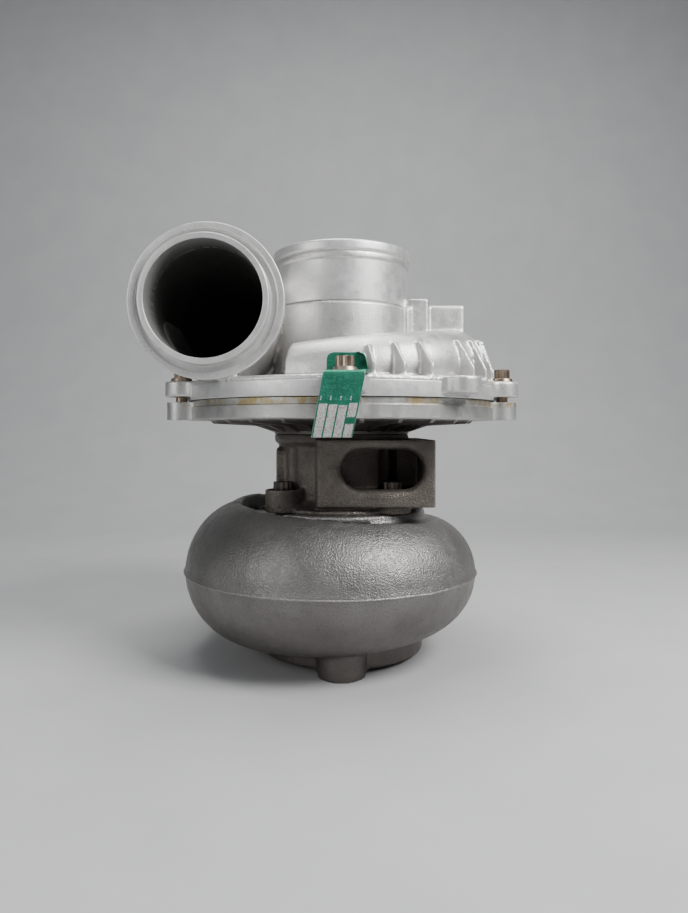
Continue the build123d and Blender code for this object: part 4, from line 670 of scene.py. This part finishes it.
def plate_path():
    """The plate's side outline: from the tab behind the bolt, over the ear and down, curling inwards."""
    front = plate_low[1] + PLATE_THICKNESS
    back = plate_high[1] - PLATE_THICKNESS / 2
    top = PLATE_STRIP_TOP_Z
    corner = 2.0 * MM
    path = [(back, plate_high[2]), (back, top + corner)]
    path += [(back - corner * (1 - math.cos(t)), top + corner * (1 - math.sin(t))) for t in (0.5, 1.1)]
    path += [(back - corner, top), (front + corner, top)]
    path += [(front + corner * (1 - math.sin(t)), top - corner * (1 - math.cos(t))) for t in (0.5, 1.1)]
    path += [(front, top - corner)]
    lowest = plate_low[2]
    for share in np.linspace(0.1, 1.0, 12):
        height = (top - corner) + (lowest - top + corner) * share
        bend = max(share - 0.45, 0.0) / 0.55
        path.append((front + 6.0 * MM * bend ** 1.8, height))
    return path


def plate_sides(height):
    """Left and right edges of the plate at a point of its path: the strip leans to the left."""
    left_tab = plate_high[0] - TAB_WIDTH
    if height >= PLATE_STRIP_TOP_Z:
        return left_tab, plate_high[0]
    fall = (PLATE_STRIP_TOP_Z - height) / (PLATE_STRIP_TOP_Z - plate_low[2])
    left = left_tab - STRIP_STEP - STRIP_LEAN * fall ** LEAN_POWER
    return left, left + STRIP_WIDTH - STRIP_TAPER * fall


def make_nameplate():
    path = []
    outline = plate_path()
    for first, second in zip(outline, outline[1:]):
        pieces = max(1, int(math.dist(first, second) / (0.8 * MM)))
        path += [tuple(f + (s - f) * i / pieces for f, s in zip(first, second)) for i in range(pieces)]
    path.append(outline[-1])
    verts = []
    for row, (y, z) in enumerate(path):
        left, right = plate_sides(z)
        from_top = plate_high[2] - z
        inset = 0.0
        if from_top < TAB_ROUND and row < len(path) / 3:
            inset = TAB_ROUND - math.sqrt(max(TAB_ROUND ** 2 - (TAB_ROUND - from_top) ** 2, 0.0))
        for column in range(SHEET_COLUMNS):
            share = column / (SHEET_COLUMNS - 1)
            x = left + inset + (right - left - 2 * inset) * share
            curl = max(share - 0.74, 0.0) / 0.26
            on_tab = 1.0 if row < len(path) / 3 and z > PLATE_STRIP_TOP_Z + 3 * MM else 0.0
            wave = 0.22 * MM * math.sin(2.2 * share * math.pi + row * 0.07)
            lift = on_tab * curl ** 2 * 3.4 * MM * min(1.0, (z - PLATE_STRIP_TOP_Z - 3 * MM) / (6 * MM))
            sway = wave if z < PLATE_STRIP_TOP_Z - 6 * MM else 0.0
            verts.append((x - 0.35 * lift, max(y - lift, plate_low[1]) + sway, z))
    faces = []
    for row in range(len(path) - 1):
        for column in range(SHEET_COLUMNS - 1):
            start = row * SHEET_COLUMNS + column
            below = start + SHEET_COLUMNS
            faces.append((start, start + 1, below + 1, below))
    mesh = bpy.data.meshes.new("nameplate_sheet")
    mesh.from_pydata(verts, [], faces)
    mesh.update()
    sheet = placed("nameplate_sheet", mesh)
    inner = 0.1 * MM
    rod = [(inner, -HOLE_REACH), (HOLE_R, -HOLE_REACH), (HOLE_R, HOLE_REACH), (inner, HOLE_REACH)]
    place = (plate_high[0] - 22.4 * MM, plate_high[1], plate_high[2] - 4.6 * MM)
    hole = turned_mesh("plate_hole", rod, "Y", place, 32)
    thick = sheet.modifiers.new("thickness", "SOLIDIFY")
    thick.thickness = PLATE_THICKNESS
    thick.offset = 0.0
    punch = sheet.modifiers.new("hole", "BOOLEAN")
    punch.operation = "DIFFERENCE"
    punch.solver = "EXACT"
    punch.object = hole
    mesh = apply_modifiers(sheet)
    bpy.data.objects.remove(hole)
    mesh.shade_smooth()
    mesh.set_sharp_from_angle(angle=math.radians(40))
    sharp = sheet.modifiers.new("edges", "BEVEL")
    sharp.width = 0.12 * MM
    sharp.segments = 2
    sharp.limit_method = "ANGLE"
    fitted(sheet, "nameplate", "housing", "green_anodised_plate")


def plate_material():
    """Green anodising over aluminium sheet, with four bare fields left to stamp figures in."""
    material, tree, shader = new_material("green_anodised_plate")
    coords = object_coordinates(tree)
    split = tree.nodes.new("ShaderNodeSeparateXYZ")
    tree.links.new(coords, split.inputs[0])
    x, z = split.outputs["X"], split.outputs["Z"]
    fall = remap(tree, z, PLATE_STRIP_TOP_Z, plate_low[2], 0.0, 1.0)
    left_tab = plate_high[0] - TAB_WIDTH
    lean = maths(tree, "MULTIPLY", maths(tree, "POWER", fall, LEAN_POWER), STRIP_LEAN)
    left = maths(tree, "SUBTRACT", left_tab - STRIP_STEP, lean)
    across = maths(tree, "DIVIDE", maths(tree, "SUBTRACT", x, left), 24.4 * MM)
    fields = None
    for index in range(4):
        start, end = 0.045 + index * 0.24, 0.045 + index * 0.24 + 0.20
        inside = between(tree, across, start, end)
        head = 0.50 + 0.012 * index if index < 3 else 0.49
        tall = maths(tree, "GREATER_THAN", fall, head)
        if index == 3:
            gap = between(tree, fall, 0.70, 0.80)
            tall = maths(tree, "MULTIPLY", tall, maths(tree, "SUBTRACT", 1.0, gap))
        field = maths(tree, "MULTIPLY", inside, tall)
        fields = field if fields is None else maths(tree, "MAXIMUM", fields, field)
    ticks = between(tree, fall, 0.38, 0.45)
    comb = maths(tree, "GREATER_THAN", maths(tree, "SINE", maths(tree, "MULTIPLY", across, 26.18), 0.0), 0.93)
    dashes = maths(tree, "GREATER_THAN", maths(tree, "SINE", maths(tree, "MULTIPLY", z, 7000.0), 0.0), -0.2)
    ticks = maths(tree, "MULTIPLY", maths(tree, "MULTIPLY", ticks, comb), dashes)
    figures = remap(tree, noise(tree, coords, 1.0 * MM, 4.0, 0.8), 0.50, 0.56)
    bare = blend_colours(tree, figures, (0.62, 0.60, 0.59), (0.30, 0.27, 0.27))
    patch = remap(tree, noise(tree, coords, 9 * MM, 4.0), 0.3, 0.7)
    green = blend_colours(tree, patch, (0.008, 0.125, 0.075), (0.016, 0.185, 0.115))
    scratch = remap(tree, noise(tree, coords, 2.4 * MM, 6.0, 0.8), 0.68, 0.74)
    green = blend_colours(tree, scratch, green, (0.22, 0.34, 0.30))
    worn = maths(tree, "MULTIPLY", exposed_edges(tree, 0.52, 0.56), 0.8)
    green = blend_colours(tree, worn, green, (0.42, 0.62, 0.54))
    green = blend_colours(tree, ticks, green, (0.60, 0.66, 0.62))
    tree.links.new(blend_colours(tree, fields, green, bare), shader.inputs["Base Color"])
    shader.inputs["Metallic"].default_value = 0.55
    tree.links.new(remap(tree, fields, 0.0, 1.0, 0.36, 0.48), shader.inputs["Roughness"])
    dents = bump(tree, figures, 0.05 * MM)
    tree.links.new(bump(tree, noise(tree, coords, 6 * MM, 2.0), 0.15 * MM, dents), shader.inputs["Normal"])
    return material


MATERIALS["green_anodised_plate"] = plate_material()
make_nameplate()


# ---------------------------------------------------------------- finishes of the carried-over CAD nodes
REPLACED = ("compressor_cover", "bearing_housing", "turbine_housing", "nameplate")
for subpart in frame["record"]["subparts"]:
    if subpart["node"] in REPLACED:
        continue
    materials = nodes[subpart["node"]].data.materials
    for index in range(len(materials)):
        materials[index] = MATERIALS[subpart["material_slot"]]


# ---------------------------------------------------------------- floor, lights and camera
def make_floor():
    """One pale sheet that runs up behind the object in a wide curve."""
    width, front, back, rise, bend = 3.0, -1.6, 1.1, 1.6, 0.5
    line = [(front, 0.0), (back - bend, 0.0)]
    for step in range(1, 17):
        angle = math.pi / 2 * step / 16
        line.append((back - bend + bend * math.sin(angle), bend * (1 - math.cos(angle))))
    line.append((back, rise))
    points = [(side * width, y, z) for y, z in line for side in (-1, 1)]
    faces = [(2 * i, 2 * i + 1, 2 * i + 3, 2 * i + 2) for i in range(len(line) - 1)]
    mesh = bpy.data.meshes.new("floor")
    mesh.from_pydata(points, [], faces)
    mesh.shade_smooth()
    floor = placed("floor", mesh)
    material, tree, shader = new_material("pale_floor")
    grain = remap(tree, noise(tree, object_coordinates(tree), 60 * MM, 4.0), 0.3, 0.7)
    pale = blend_colours(tree, grain, (0.43, 0.43, 0.435), (0.46, 0.46, 0.46))
    tree.links.new(pale, shader.inputs["Base Color"])
    shader.inputs["Roughness"].default_value = 0.85
    floor.data.materials.append(material)


def area_light(name, place, target, size, power):
    """A soft square light aimed at a point."""
    lamp = bpy.data.lights.new(name, "AREA")
    lamp.size = size
    lamp.energy = power
    light = bpy.data.objects.new(name, lamp)
    direction = [t - p for t, p in zip(target, place)]
    light.location = place
    light.rotation_euler = mathutils.Vector(direction).to_track_quat("-Z", "Y").to_euler()
    bpy.context.scene.collection.objects.link(light)


def make_lights():
    middle = (0.0, 0.0, 0.17)
    area_light("key", (0.62, -0.50, 0.80), middle, 0.45, 17)
    area_light("fill", (-0.95, -0.85, 0.55), middle, 0.6, 5)
    area_light("top", (-0.05, 0.05, 1.3), middle, 0.7, 13)
    world = bpy.data.worlds.new("studio")
    bpy.context.scene.world = world
    world.use_nodes = True
    world.node_tree.nodes["Background"].inputs["Color"].default_value = (0.85, 0.92, 1.0, 1.0)
    world.node_tree.nodes["Background"].inputs["Strength"].default_value = 0.16


def make_camera():
    data = bpy.data.cameras.new("camera")
    data.sensor_width = 36.0
    data.lens = CAMERA_LENS
    data.shift_x, data.shift_y = CAMERA_SHIFT
    camera = bpy.data.objects.new("camera", data)
    camera.location = (0.0, -CAMERA_DISTANCE, CAMERA_HEIGHT)
    camera.rotation_euler = (math.pi / 2, 0.0, 0.0)
    bpy.context.scene.collection.objects.link(camera)
    bpy.context.scene.camera = camera


make_floor()
make_lights()
make_camera()
